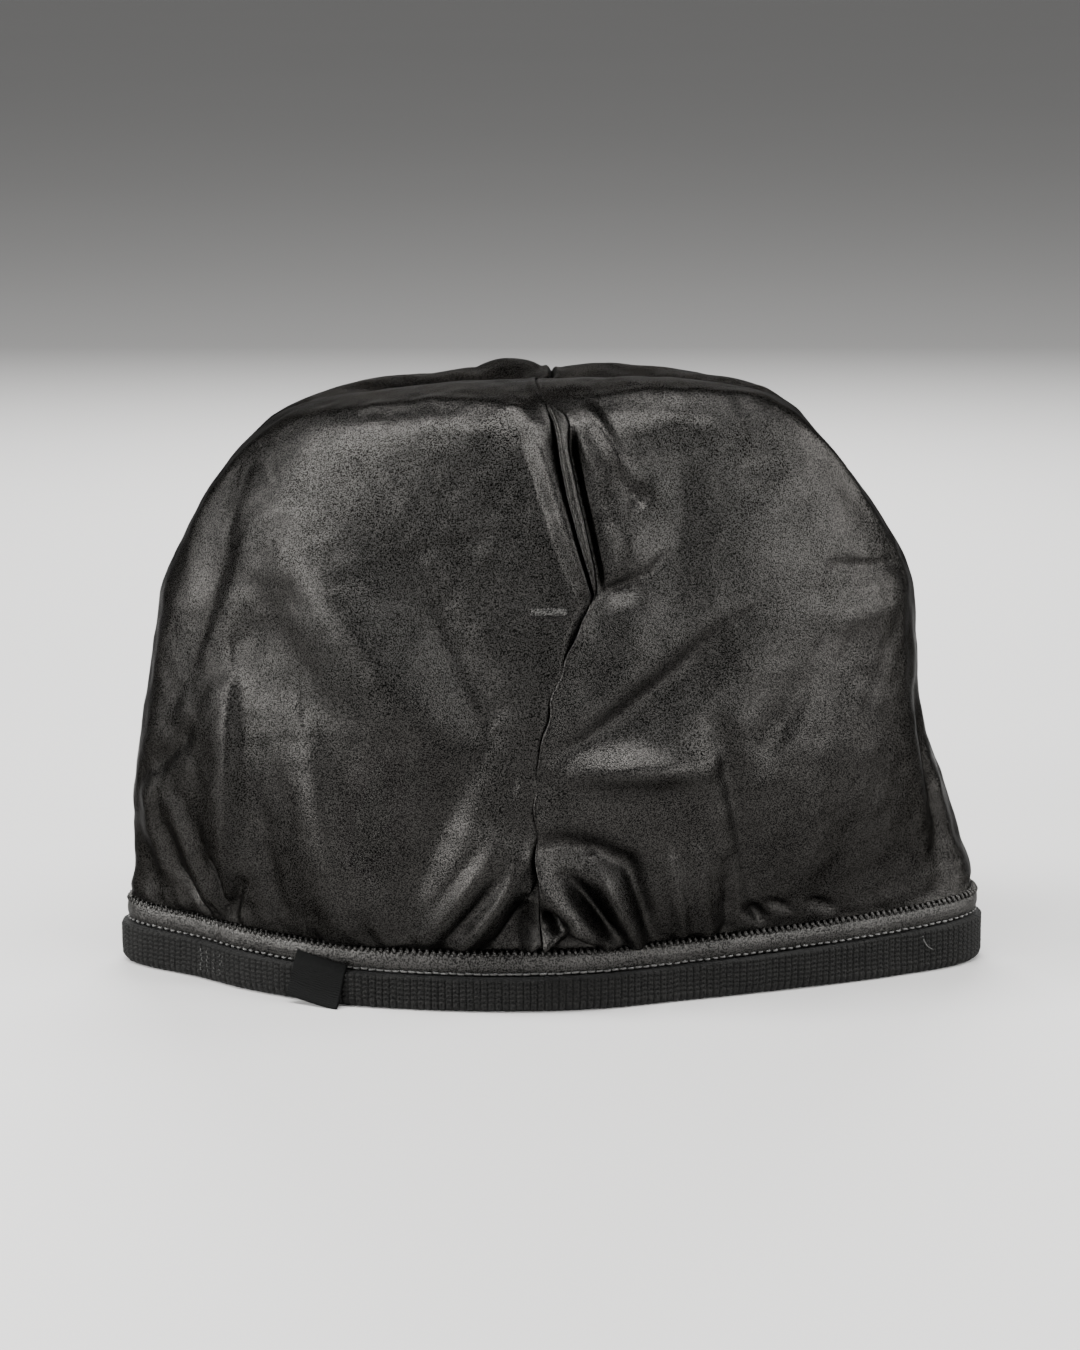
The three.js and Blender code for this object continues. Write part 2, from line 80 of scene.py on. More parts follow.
@dataclass(frozen=True)
class Section:
    """One level section of the satin's outer face.

    The four reaches are from the hat's middle, and square is the oval's exponent.
    The crown's sections rise above z at the front and at the back.
    """

    z: float
    front_rise: float
    back_rise: float
    left: float
    right: float
    front: float
    back: float
    square: float


SECTIONS = (
    # z, front_rise, back_rise, left, right, front, back, square
    Section(17.5, 0, 0, 122.6, 122.6, 46.4, 54.4, 2),
    Section(21, 0, 0, 123.6, 123, 50.2, 57.4, 2),
    Section(27, 0, 0, 122.4, 121.3, 54.0, 59.2, 2),
    Section(34, 0, 0, 122.2, 118.9, 56.8, 59.9, 2),
    Section(43, 0, 0, 122.2, 116.4, 58.6, 60.3, 2),
    Section(54, 0, 0, 121.6, 113.6, 59.5, 60.5, 2.02),
    Section(67, 0, 0, 119.6, 109.8, 59.9, 60.6, 2.05),
    Section(82, 0, 0, 117.6, 106.8, 59.9, 60.4, 2.1),
    Section(96, -1, -1, 115.7, 105.4, 59.6, 60.1, 2.12),
    Section(107, -2.5, -2.5, 114, 104.7, 59.1, 59.7, 2.15),
    Section(114.6, -1.6, -1.6, 113, 104, 58.4, 58.8, 2.2),
    Section(121, 1, 0.5, 110.2, 102, 57, 57.4, 2.25),
    Section(131, 2.5, 1, 104.6, 96.4, 55.2, 54.8, 2.35),
    Section(141, 3.5, 1, 98.4, 89.4, 52.9, 51.4, 2.45),
    Section(150, 4, 1, 91.9, 82.4, 50.7, 48.8, 2.55),
    Section(158, 4, 1, 85, 75.6, 48.4, 45.4, 2.62),
    Section(165.5, 3.5, 0, 75.4, 69.6, 43.8, 40.0, 2.7),
    Section(171, 3, -1, 60, 61, 32.4, 31.4, 2.7),
    Section(172.8, 2.6, -0.8, 41, 43, 19, 21, 2.6),
    Section(173.4, 1.4, -0.6, 22, 21, 9.6, 10.6, 2.4),
)
TOP_LEVEL = len(SECTIONS) - 1
CROWN_TOP = (-6.0, 0.0, 173.4)

# The rim's reach along 16 even bearings, as a share of its oval, from the front by the right.
RIM_REACH = (
    0.995, 0.845, 0.8, 0.865, 0.997, 1.045, 1.04, 1.02,
    1.0, 1.01, 1.0, 1.01, 1.0, 0.895, 0.93, 1.01,
)  # fmt: skip

# x of the front seam by height up the lining.
FRONT_SEAM = (
    (18, -2.6), (30, -3.2), (50, -4.1), (64, -4.0), (78, -2.6), (92, 0.8), (104, 5.0), (114, 8.0),
    (121, 11.4), (126, 10.1), (136, 6.8), (147, 3.6), (158, 1.1), (168, -1.0), (173, -2.6), (176, -4.6),
)  # fmt: skip


@dataclass(frozen=True)
class DartRow:
    """The open dart at one height: the left ridge, the narrow leaf and the hollow beside it."""

    z: float
    crest: float
    ridge: float
    leaf_width: float
    leaf: float
    hollow: float
    reach: float


DART = (
    # z, crest (from the seam), ridge, leaf_width, leaf, hollow, reach (of the hollow's far side)
    DartRow(117, 0.8, 0, 0, 0, 0, 4),
    DartRow(120.5, 0.9, 1.1, 0.2, 0.6, -0.6, 5),
    DartRow(123, 1.1, 1.9, 0.9, 1.4, -1.7, 6),
    DartRow(128, 1.4, 2.4, 1.9, 2.0, -3.0, 8),
    DartRow(136, 1.8, 2.7, 2.6, 2.3, -3.8, 12),
    DartRow(146, 2.4, 2.7, 3.0, 2.4, -4.0, 14),
    DartRow(155, 3.3, 2.5, 3.0, 2.4, -4.6, 8),
    DartRow(160.5, 4.2, 2.1, 2.6, 2.4, -4.4, 4),
    DartRow(163.5, 4.8, 1.7, 3.0, 2.1, -2.0, 3),
    DartRow(166, 5.2, 1.2, 4.0, 1.0, -0.2, 3),
    DartRow(169, 6.0, 0.6, 4.0, 0.3, 0, 3),
    DartRow(173, 6.5, 0, 0, 0, 0, 3),
)


# ---- Folds ------------------------------------------------------------------------------------


class Half(Enum):
    """Which half of the lining something lies on."""

    LEFT = -1
    RIGHT = 1
    BOTH = 0


class Face(Enum):
    """A side of the hat seen square on: its across axis, up axis, depth axis and outward sign."""

    FRONT = (0, 2, 1, -1)
    BACK = (0, 2, 1, 1)
    LEFT = (1, 2, 0, -1)
    RIGHT = (1, 2, 0, 1)
    TOP = (0, 1, 2, 1)


@dataclass(frozen=True)
class Fold:
    """One fold or dent of the satin, along a bowed line seen square on to its face.

    height is out of the cloth where positive. width is how far it falls away on the left of
    its run, and other_width on the right, if that differs. blunt 2 is round, 1 is a crease.
    A taper near 0 lets the fold die away at that end, and a larger one keeps it high.
    """

    face: Face
    half: Half
    start: Place
    via: Place
    end: Place
    width: float
    height: float
    other_width: float = 0.0
    blunt: float = 2.0
    start_taper: float = 0.07
    end_taper: float = 0.07


FR, BK, LF, RT, TP = Face.FRONT, Face.BACK, Face.LEFT, Face.RIGHT, Face.TOP
L, R, B = Half.LEFT, Half.RIGHT, Half.BOTH

FOLDS = (
    # face, half, start, via, end, width, height, other_width, blunt, start_taper, end_taper
    # Left panel: the shoulder's crease, over the corner, and the slanting valleys under it.
    Fold(FR, L, (-8, 171), (-32, 173), (-68, 168), 3.4, 0.9, 3.4),
    Fold(FR, L, (-70, 168), (-91, 152), (-110, 126), 5, 1.2, 5),
    Fold(FR, L, (-7, 168), (-10, 172), (-14, 169), 2.4, 1.0),
    Fold(FR, L, (-89, 142), (-97, 117), (-110, 80), 6.4, -3.1, 8.5),
    Fold(FR, L, (-73, 118), (-86, 105), (-101, 91), 6, -2.4, 6),
    # Left panel: the broad light fold that runs down towards the seam, with its dark side.
    Fold(FR, L, (-73, 142), (-56, 106), (-29, 76), 12, 7.0, 15),
    Fold(FR, L, (-33, 120), (-27, 104), (-17, 84), 7, -2.2, 6),
    Fold(FR, L, (-56, 125), (-38, 134), (-9, 139.5), 1.2, -0.55, 5),
    # Left panel: the long upright folds beside the corner, and the puckers at their feet.
    Fold(FR, L, (-90, 95), (-89, 64), (-92.5, 30), 3.2, 4.6, 9),
    Fold(FR, L, (-119, 59), (-112, 66), (-103, 77), 3.6, -2.4),
    Fold(FR, L, (-68, 80), (-64, 50), (-56.5, 20), 6.5, 4.2, 9),
    Fold(FR, L, (-54, 44), (-50, 32), (-46, 20), 3.4, 2.6, 4, 2, 0.1, 0.35),
    Fold(FR, L, (-82, 60), (-82, 44), (-76, 26), 4, -1.6),
    Fold(FR, L, (-108, 52), (-103, 42), (-98, 28), 5, 3.0, 6, 2, 0.1, 0.35),
    Fold(FR, L, (-107, 34), (-101, 27), (-97.5, 20), 1.6, -1.8),
    Fold(FR, L, (-95, 40), (-93.5, 30), (-93, 20), 1.2, -2.0),
    Fold(FR, L, (-88, 34), (-90.5, 27), (-91.5, 20), 1.6, -1.8),
    # Left panel: the gathers that run down to the hem beside the seam.
    Fold(FR, L, (-19, 80), (-31, 60), (-43, 22), 5.4, -3.2, 6.5),
    Fold(FR, L, (-14, 51), (-22, 42), (-36, 22), 4.2, 2.6, 4.8, 2, 0.1, 0.3),
    Fold(FR, L, (-21, 49), (-28, 38), (-40, 22), 2.8, -1.4, 2.4),
    Fold(FR, L, (-9, 47), (-14, 35), (-25, 20), 3.2, 2.8, 3.2, 2, 0.1, 0.35),
    Fold(FR, L, (-13, 43), (-20, 32), (-30, 20), 2.4, -2.2),
    Fold(FR, L, (-10.2, 72), (-10.6, 69), (-11.4, 66), 1.6, -0.8),
    Fold(FR, L, (-7, 34), (-10, 25), (-15, 18), 5, -6.5, 3),
    # Right panel: the shoulder's crease, the hollow beside the dart and the dimple at its tip.
    Fold(FR, R, (10, 172), (30, 172.5), (58, 169), 3.0, 0.9, 3.4),
    Fold(FR, R, (56, 169), (80, 155), (103, 126), 5, 1.8, 4),
    Fold(FR, R, (10, 169.5), (15, 163), (20.5, 154), 2.4, 2.2, 2.4),
    Fold(FR, R, (21, 150), (23.5, 148), (26, 145), 3.6, -2.6),
    Fold(FR, R, (35, 160), (36, 140), (34, 112), 7, -2.2, 9),
    Fold(FR, R, (17, 142), (20, 136), (25, 131), 4.5, 1.6),
    Fold(FR, R, (13, 121.5), (18, 123), (24, 126), 2.0, -3.0, 5.0),
    Fold(FR, R, (25, 126.5), (30, 130.5), (36, 134), 1.4, -0.7),
    # Right panel: the long slanting crease, the shelf below it and the creases to the right.
    Fold(FR, R, (50, 112), (33, 96), (3, 75), 9, -4.0, 4.4),
    Fold(FR, R, (4, 72), (20, 73), (42, 72), 5, 4.2, 4.4),
    Fold(FR, R, (71, 96), (66, 84), (58, 72), 3.6, -2.0, 7),
    Fold(FR, R, (78, 127), (88, 124.5), (99, 124), 1.4, -0.9, 2.6),
    Fold(FR, R, (76, 112), (86, 110), (98, 112), 6, 1.2),
    Fold(FR, R, (46, 84), (52, 62), (57.5, 26), 4.2, -3.2, 3.4),
    Fold(FR, R, (72, 70), (76, 52), (74, 34), 6, 1.6),
    # Right panel: the gathers down to the hem.
    Fold(FR, R, (-2, 51), (12, 51), (24, 41), 4.4, -4.0, 4.4),
    Fold(FR, R, (-3, 40), (6.5, 27), (17, 18), 3.6, 5.4, 3.2, 2, 0.07, 0.35),
    Fold(FR, R, (12.5, 45), (17.5, 32), (25, 18), 3.0, 4.4, 2.6, 2, 0.07, 0.35),
    Fold(FR, R, (4, 42), (11.5, 34), (18.5, 19), 2.6, -3.2),
    Fold(FR, R, (21.5, 45), (25.5, 34), (28.5, 20), 2.8, -3.0),
    Fold(FR, R, (32.5, 44), (35.5, 32), (37, 21), 3.0, 3.0, 2.6, 2, 0.07, 0.35),
    Fold(FR, R, (40, 46), (42.5, 32), (44, 20), 3.2, 2.8, 3.2, 2, 0.07, 0.35),
    Fold(FR, R, (49, 42), (50.6, 30), (50, 19), 2.4, -2.2),
    Fold(FR, R, (56, 26), (59, 24), (61, 21), 2.2, -2.4),
    Fold(FR, R, (62, 28), (65, 27), (68, 24), 1.6, -1.6),
    Fold(FR, R, (74, 27), (77, 25), (81, 23), 1.8, -1.6),
    Fold(FR, B, (5, 27), (-2, 25), (-8, 18), 2.4, 5.0, 2.0),
    Fold(FR, R, (4, 20), (9, 22), (14, 19), 2.4, -5.0),
    Fold(FR, R, (-1.5, 31), (0.6, 29), (3, 26.5), 1.8, -5.0),
    # The side darts, which end in a corner at the top of the straight wall, and the folds below.
    Fold(LF, L, (0, 118), (1, 142), (0, 168), 3.2, -2.8),
    Fold(RT, R, (2, 116), (1, 140), (0, 166), 3.2, -2.8),
    Fold(LF, L, (-14, 60), (-10, 44), (-12, 24), 5, 2.2),
    Fold(LF, L, (10, 90), (14, 60), (10, 26), 6, -2.2),
    Fold(RT, R, (-12, 84), (-6, 60), (-4, 26), 4.5, -2.4),
    Fold(RT, R, (12, 74), (12, 50), (16, 26), 5, 2.2),
    # Behind: the same kinds of fold, plainly.
    Fold(BK, L, (-3, 126), (-6, 90), (-2, 34), 5, -1.8),
    Fold(BK, R, (6, 124), (8, 90), (6, 34), 5, 1.8),
    Fold(BK, L, (-40, 96), (-50, 60), (-46, 24), 7, 2.4),
    Fold(BK, L, (-74, 120), (-84, 80), (-80, 30), 6, -2.6),
    Fold(BK, L, (-24, 52), (-26, 36), (-25, 20), 3.4, -2.6),
    Fold(BK, L, (-62, 44), (-60, 32), (-61, 20), 3, -2.2),
    Fold(BK, L, (-98, 50), (-96, 34), (-97, 20), 3.4, 2.0),
    Fold(BK, R, (44, 104), (54, 70), (46, 26), 6.5, -2.8),
    Fold(BK, R, (80, 90), (84, 60), (78, 24), 6, 2.4),
    Fold(BK, R, (20, 58), (25, 38), (23, 20), 3.2, 2.6),
    Fold(BK, R, (64, 46), (62, 32), (63, 20), 3, -2.2),
    Fold(BK, R, (98, 60), (96, 40), (97, 20), 3.6, -2.0),
    # The crown's dip from side to side, and the puffs of cloth behind and before it.
    Fold(TP, L, (-60, 1), (-30, 3), (-4, 1), 10, -6),
    Fold(TP, R, (62, 1), (32, 3), (0, 1), 10, -6),
    Fold(TP, L, (-22, 26), (-12, 27), (-3, 26), 9, 4.6),
    Fold(TP, R, (2, 27), (16, 28), (44, 30), 10, 3.6),
    Fold(TP, R, (14, -27), (44, -31), (76, -24), 13, 3.6),
)


# ---- Curves and small maths -------------------------------------------------------------------


def ease(low: float, high: float, value: Points) -> Points:
    """0 below low, 1 above high and an even ease between."""
    share = np.clip((value - low) / (high - low), 0.0, 1.0)
    return share * share * (3 - 2 * share)


def bell(away: Points, width: float | Points) -> Points:
    """A bell of height 1 at 0, falling away over width."""
    return np.exp(-((away / width) ** 2))


def beads(away: Points, rows: tuple[Triple, ...]) -> Points:
    """A sum of bells, each with its height, how far away it lies and its width."""
    return sum(height * bell(away - middle, width) for height, middle, width in rows)


def through_four(values: Points, at: Points, closed: bool = False) -> Points:
    """Reads a table at fractional rows, on a smooth curve through its values.

    Args:
        values: The table's values, evenly spaced.
        at: Fractional rows.
        closed: Whether the table runs round and meets itself.

    Returns:
        The value at each fractional row.
    """
    last = len(values) - 1
    row = np.floor(at).astype(int)
    if not closed:
        at = np.clip(at, 0, last)
        row = np.clip(row, 0, last - 1)

    def value(offset: int) -> Points:
        """The table's value that many rows on."""
        index = row + offset
        return values[index % (last + 1) if closed else np.clip(index, 0, last)]

    t = at - row
    before, start, end, after = value(-1), value(0), value(1), value(2)
    slope_in, slope_out = (end - before) / 2, (after - start) / 2
    t2, t3 = t * t, t * t * t
    return (
        (2 * t3 - 3 * t2 + 1) * start
        + (t3 - 2 * t2 + t) * slope_in
        + (3 * t2 - 2 * t3) * end
        + (t3 - t2) * slope_out
    )


def crowded(count: int, spacing: tuple[Place, ...]) -> Points:
    """Shares from 0 to 1 whose spacing follows a table.

    Args:
        count: How many steps to take.
        spacing: Rows of a share of the way and the relative spacing there.

    Returns:
        count + 1 shares.
    """
    places = np.linspace(0, 1, FINE)
    density = 1 / np.interp(places, *zip(*spacing))
    run = np.concatenate([[0], np.cumsum((density[1:] + density[:-1]) / 2)])
    return np.interp(np.linspace(0, 1, count + 1), run / run[-1], places)


def bowed(start: Place, via: Place, end: Place, steps: int) -> Points:
    """Places along a bow from start to end that is drawn towards via."""
    t = np.linspace(0, 1, steps)[:, None]
    return (1 - t) ** 2 * np.array(start) + 2 * t * (1 - t) * np.array(via) + t * t * np.array(end)


def unit(vectors: Points) -> Points:
    """The vectors at length 1."""
    return vectors / np.maximum(np.linalg.norm(vectors, axis=-1, keepdims=True), 1e-12)


def arc_lengths(points: Points, axis: int) -> Points:
    """Running length along one axis of a grid of points."""
    steps = np.linalg.norm(np.diff(points, axis=axis), axis=-1)
    return np.concatenate([np.zeros_like(np.take(steps, [0], axis)), np.cumsum(steps, axis)], axis)


@dataclass(frozen=True)
class Waves:
    """Seeded soft waviness over the cloth."""

    height: float
    length: float
    count: int = 14
    seed: int = SEED

    def at(self, points: Points) -> Points:
        """Heights at the points.

        Args:
            points: Places on the hat.

        Returns:
            One height for each place, about as many above 0 as below.
        """
        rng = np.random.default_rng(self.seed)
        total = np.zeros(points.shape[:-1])
        for _ in range(self.count):
            direction = unit(rng.normal(size=3))
            wave_number = 2 * math.pi / (self.length * rng.uniform(0.7, 1.6))
            total += np.sin(points @ direction * wave_number + rng.uniform(0, 2 * math.pi))
        return total * self.height / math.sqrt(self.count / 2)


# ---- The hat's form ---------------------------------------------------------------------------


@dataclass(frozen=True)
class Hat:
    """The smooth form that every piece lies on, with the rim's sizes.

    rim_blend and hem_blend are the heights over which the rim's outline and its rise give way
    to the sections. softness is how many sections a corner is rounded over. The front reaches
    front_reach round to each side, and seam_limit keeps the seam in the middle of it.
    """

    rim_half_width: float = 125.4
    rim_half_depth: float = 53.0
    rim_centre_y: float = 4.0
    rim_blend: Place = (20, 78)
    band_height: float = 10.0
    hem_rise_at_sides: float = 3.0
    hem_tilt: float = 0.8
    hem_blend: Place = (20, 60)
    corner_focus: float = 6.0
    softness: float = 1.4
    front_reach: float = 1.4
    front_steps: int = 2801
    outline_steps: int = 720
    outward_step: float = 0.02
    seam_limit: float = 0.3

    def column(self, name: str, level: Points) -> Points:
        """One column of the sections, read at fractional rows."""
        return through_four(np.array([getattr(row, name) for row in SECTIONS], float), level)

    def softened(self, name: str, level: Points) -> Points:
        """A column of the sections with its corners rounded off."""
        below, above = np.maximum(level - self.softness, 0), level + self.softness
        return (self.column(name, below) + self.column(name, above) + 2 * self.column(name, level)) / 4

    def rim_reach(self, angle: Points) -> Points:
        """The rim's reach at an angle, as a share of its oval."""
        at = (angle - FRONT) / (2 * math.pi) * len(RIM_REACH)
        return through_four(np.array(RIM_REACH), at, closed=True)

    def hem_rise(self, x: Points) -> Points:
        """How much higher the band's top is at this x than at the front."""
        share = x / self.rim_half_width
        return self.hem_rise_at_sides * share * share + self.hem_tilt * share

    def outline(self, angle: Points) -> Points:
        """The rim's outline.

        Args:
            angle: Angles round the hat.

        Returns:
            x and y at each angle.
        """
        reach = self.rim_reach(angle)
        x = self.rim_half_width * reach * np.cos(angle)
        y = self.rim_half_depth * reach * np.sin(angle) + self.rim_centre_y
        return np.stack([x, y], -1)

    def outward(self, angle: Points) -> Points:
        """The outline's outward direction at an angle, level."""
        along = unit(self.outline(angle + self.outward_step) - self.outline(angle - self.outward_step))
        return np.stack([along[..., 1], -along[..., 0], np.zeros_like(angle)], -1)

    def rim_point(self, angle: Points, inset: Points, z: Points) -> Points:
        """A point near the rim.

        Args:
            angle: Angles round the hat.
            inset: How far inside the rim's outline.
            z: Height.

        Returns:
            A point for each.
        """
        angle, inset, z = np.broadcast_arrays(angle, inset, z)
        flat = np.concatenate([self.outline(angle), np.zeros((*angle.shape, 1))], -1)
        point = flat - self.outward(angle) * inset[..., None]
        point[..., 2] = z
        return point

    def hem_point(self, angle: Points, inset: Points, above: Points) -> Points:
        """A point near the rim whose height is counted from the top of the knit band.

        Args:
            angle: Angles round the hat.
            inset: How far inside the rim's outline.
            above: Height above the band's top.

        Returns:
            A point for each.
        """
        point = self.rim_point(angle, inset, 0.0)
        point[..., 2] = self.band_height + self.hem_rise(point[..., 0]) + above
        return point

    def front_angle(self, x: float) -> float:
        """The angle of the rim's front at this x."""
        angles = np.linspace(FRONT - self.front_reach, FRONT + self.front_reach, self.front_steps)
        return float(angles[np.abs(self.outline(angles)[:, 0] - x).argmin()])

    def rim_angles(self, count: int) -> Points:
        """Angles round the rim, evenly spaced along it, from the front by the right.

        Args:
            count: How many angles.

        Returns:
            The angles.
        """
        angles = np.linspace(FRONT, FRONT + 2 * math.pi, FINE)
        run = arc_lengths(self.outline(angles), 0)
        return np.interp(np.linspace(0, run[-1], count, endpoint=False), run, angles)

    def satin(self, angle: Points, level: Points) -> Points:
        """The satin's outer face without folds.

        Args:
            angle: Angles round the hat.
            level: Fractional rows of the sections.

        Returns:
            A point for each pair.
        """
        angle, level = np.broadcast_arrays(angle, level)
        left, right, front, back, square, height = (
            self.column(name, level) for name in ("left", "right", "front", "back", "square", "z")
        )
        cos, sin = np.cos(angle), np.sin(angle)
        # The corners at the sides are sharp only near the sides.
        crisp = np.abs(cos) ** self.corner_focus
        left = left * crisp + self.softened("left", level) * (1 - crisp)
        right = right * crisp + self.softened("right", level) * (1 - crisp)
        rise = np.where(sin < 0, self.column("front_rise", level), self.column("back_rise", level))
        z = height + rise * sin * sin
        oval = (np.abs(cos) ** square + np.abs(sin) ** square) ** (-1 / square)
        blend = ease(*self.rim_blend, z)
        reach = self.rim_reach(angle) * (1 - blend) + oval * blend
        x = (right - left) / 2 + (left + right) / 2 * cos * reach
        y = (back - front) / 2 + (front + back) / 2 * sin * reach
        return np.stack([x, y, z + self.hem_rise(x) * (1 - ease(*self.hem_blend, z))], -1)

    def seam_angle(self, level: Points) -> Points:
        """The angle of the front seam.

        Args:
            level: Fractional rows of the sections.

        Returns:
            The angle at each level.
        """
        left, right = self.column("left", level), self.column("right", level)
        height = self.column("z", level) + self.column("front_rise", level)
        offset = np.interp(height, *zip(*FRONT_SEAM)) - (right - left) / 2
        share = np.clip(2 * offset / (left + right), -self.seam_limit, self.seam_limit)
        return FRONT + np.arcsin(share)

    def place(self, points: Points) -> Points:
        """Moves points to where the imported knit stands.

        Args:
            points: Places in the hat's own frame, in millimetres.

        Returns:
            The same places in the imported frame, in metres.
        """
        low, high = (np.array(corner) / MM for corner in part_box("knit_shell"))
        flat = self.outline(np.linspace(0, 2 * math.pi, self.outline_steps))
        own = (flat.min(0) + flat.max(0)) / 2
        shift = np.array([(low[0] + high[0]) / 2 - own[0], (low[1] + high[1]) / 2 - own[1], 0])
        return (points + shift) * MM


HAT = Hat()


# ---- Meshes from grids ------------------------------------------------------------------------


class MeshBuilder:
    """Gathers points and faces, with flat cloth coordinates, into one closed mesh."""

    def __init__(self) -> None:
        """Starts with nothing."""
        self.points: list[Points] = []
        self.cloth: list[Points] = []
        self.faces: list[Points] = []
        self.count = 0

    def add_grid(self, points: Points, cloth: Points | None = None) -> Points:
        """Adds a grid of points.

        Args:
            points: Rows and columns of places.
            cloth: Flat cloth coordinates of the same rows and columns, in centimetres.

        Returns:
            The points' numbers, in the same rows and columns.
        """
        rows, columns = points.shape[:2]
        numbers = np.arange(rows * columns).reshape(rows, columns) + self.count
        flat = np.zeros((rows, columns, 2)) if cloth is None else cloth
        self.points.append(points.reshape(-1, 3))
        self.cloth.append(flat.reshape(-1, 2))
        self.count += rows * columns
        return numbers

    def fill(self, numbers: Points, turned: bool = False) -> None:
        """Adds a face for each cell of a grid.

        Args:
            numbers: The points' numbers, in rows and columns.
            turned: Whether the faces look the other way.
        """
        a, b, c, d = numbers[:-1, :-1], numbers[:-1, 1:], numbers[1:, 1:], numbers[1:, :-1]
        quads = np.stack([a, b, c, d], -1).reshape(-1, 4)
        self.faces.append(quads[:, ::-1] if turned else quads)

    def fill_tube(self, numbers: Points, turned: bool = False) -> None:
        """Fills a grid whose rows run round and meet themselves."""
        self.fill(np.concatenate([numbers, numbers[:, :1]], 1), turned)

    def fill_ring(self, numbers: Points, turned: bool = False) -> None:
        """Fills a grid that meets itself both ways, such as a roll round the rim."""
        self.fill_tube(np.concatenate([numbers, numbers[:1]]), turned)

    def stitch(self, fine: Points, coarse: Points, turned: bool = False) -> None:
        """Joins a fine border to a coarse one that has a point at every few of its points.

        Args:
            fine: Numbers along the fine border.
            coarse: Numbers along the coarse border, from the same end.
            turned: Whether the faces look the other way.
        """
        every = (len(fine) - 1) // (len(coarse) - 1)
        triangles = []
        for i in range(len(coarse) - 1):
            start = i * every
            middle = start + every // 2
            for k in range(start, start + every):
                corner = coarse[i] if k < middle else coarse[i + 1]
                triangles.append((fine[k], fine[k + 1], corner))
            triangles.append((fine[middle], coarse[i + 1], coarse[i]))
        block = np.array(triangles)
        self.faces.append(block[:, ::-1] if turned else block)

    def to_object(self, name: str, material: bpy.types.Material) -> bpy.types.Object:
        """Makes the object.

        Args:
            name: The piece's name.
            material: Its finish.

        Returns:
            The object, in the scene, smoothly shaded.
        """
        mesh = bpy.data.meshes.new(name)
        points = HAT.place(np.concatenate(self.points))
        faces = [face for block in self.faces for face in block.tolist()]
        mesh.from_pydata(points.tolist(), [], faces)
        mesh.polygons.foreach_set("use_smooth", np.ones(len(mesh.polygons), bool))
        corner_points = np.zeros(len(mesh.loops), np.int32)
        mesh.loops.foreach_get("vertex_index", corner_points)
        layer = mesh.uv_layers.new(name="cloth")
        layer.data.foreach_set("uv", np.concatenate(self.cloth)[corner_points].ravel())
        mesh.materials.append(material)
        mesh.validate()
        obj = bpy.data.objects.new(name, mesh)
        bpy.context.scene.collection.objects.link(obj)
        return obj


def dress(obj: bpy.types.Object, slot: str, *nodes: str) -> bpy.types.Object:
    """Rides a piece on the hat, and hides the CAD nodes that it stands for.

    Args:
        obj: The piece.
        slot: The record's material slot; it is not used.
        nodes: CAD nodes that it stands for.

    Returns:
        The piece.
    """
    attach(obj, "root")
    if nodes:
        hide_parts(*nodes)
    triangles = sum(len(face.vertices) - 2 for face in obj.data.polygons)
    log.info("%s: %d triangles", obj.name, triangles)
    return obj


# A thread that runs steeper than this is given its sides from the x axis, not from above.
UPRIGHT = 0.9


def tube(builder: MeshBuilder, path: Points, radius: Points, sides: int = 6) -> None:
    """Adds a closed round thread along a path.

    Args:
        builder: The mesh that it goes into.
        path: Places along the thread.
        radius: The thread's radius at each place.
        sides: How many sides it has.
    """
    along = unit(np.gradient(path, axis=0))
    steep = np.abs(along[:, 2:]) > UPRIGHT
    side = unit(np.cross(along, np.where(steep, [[1.0, 0, 0]], [[0, 0, 1.0]])))
    up = np.cross(side, along)
    turn = np.linspace(0, 2 * math.pi, sides, endpoint=False)
    ring = side[:, None] * np.cos(turn)[None, :, None] + up[:, None] * np.sin(turn)[None, :, None]
    grid = path[:, None] + ring * np.asarray(radius, float).reshape(-1, 1, 1)
    numbers = builder.add_grid(grid)
    builder.fill_tube(numbers, turned=True)
    ends = builder.add_grid(path[[0, -1]][:, None])
    for end, row, turned in ((ends[0, 0], numbers[0], False), (ends[1, 0], numbers[-1], True)):
        fan = np.stack([row, np.roll(row, -1), np.full(sides, end)], -1)
        builder.faces.append(fan[:, ::-1] if turned else fan)


# ---- Shared effects ---------------------------------------------------------------------------


def set_inputs(node: bpy.types.Node, values: dict[str, float | tuple[float, ...]]) -> None:
    """Sets a node's inputs by name."""
    for label, value in values.items():
        node.inputs[label].default_value = value


# How many turns of the noise that shakes the weave's ribs lie in a metre.
WEAVE_WANDER = 400


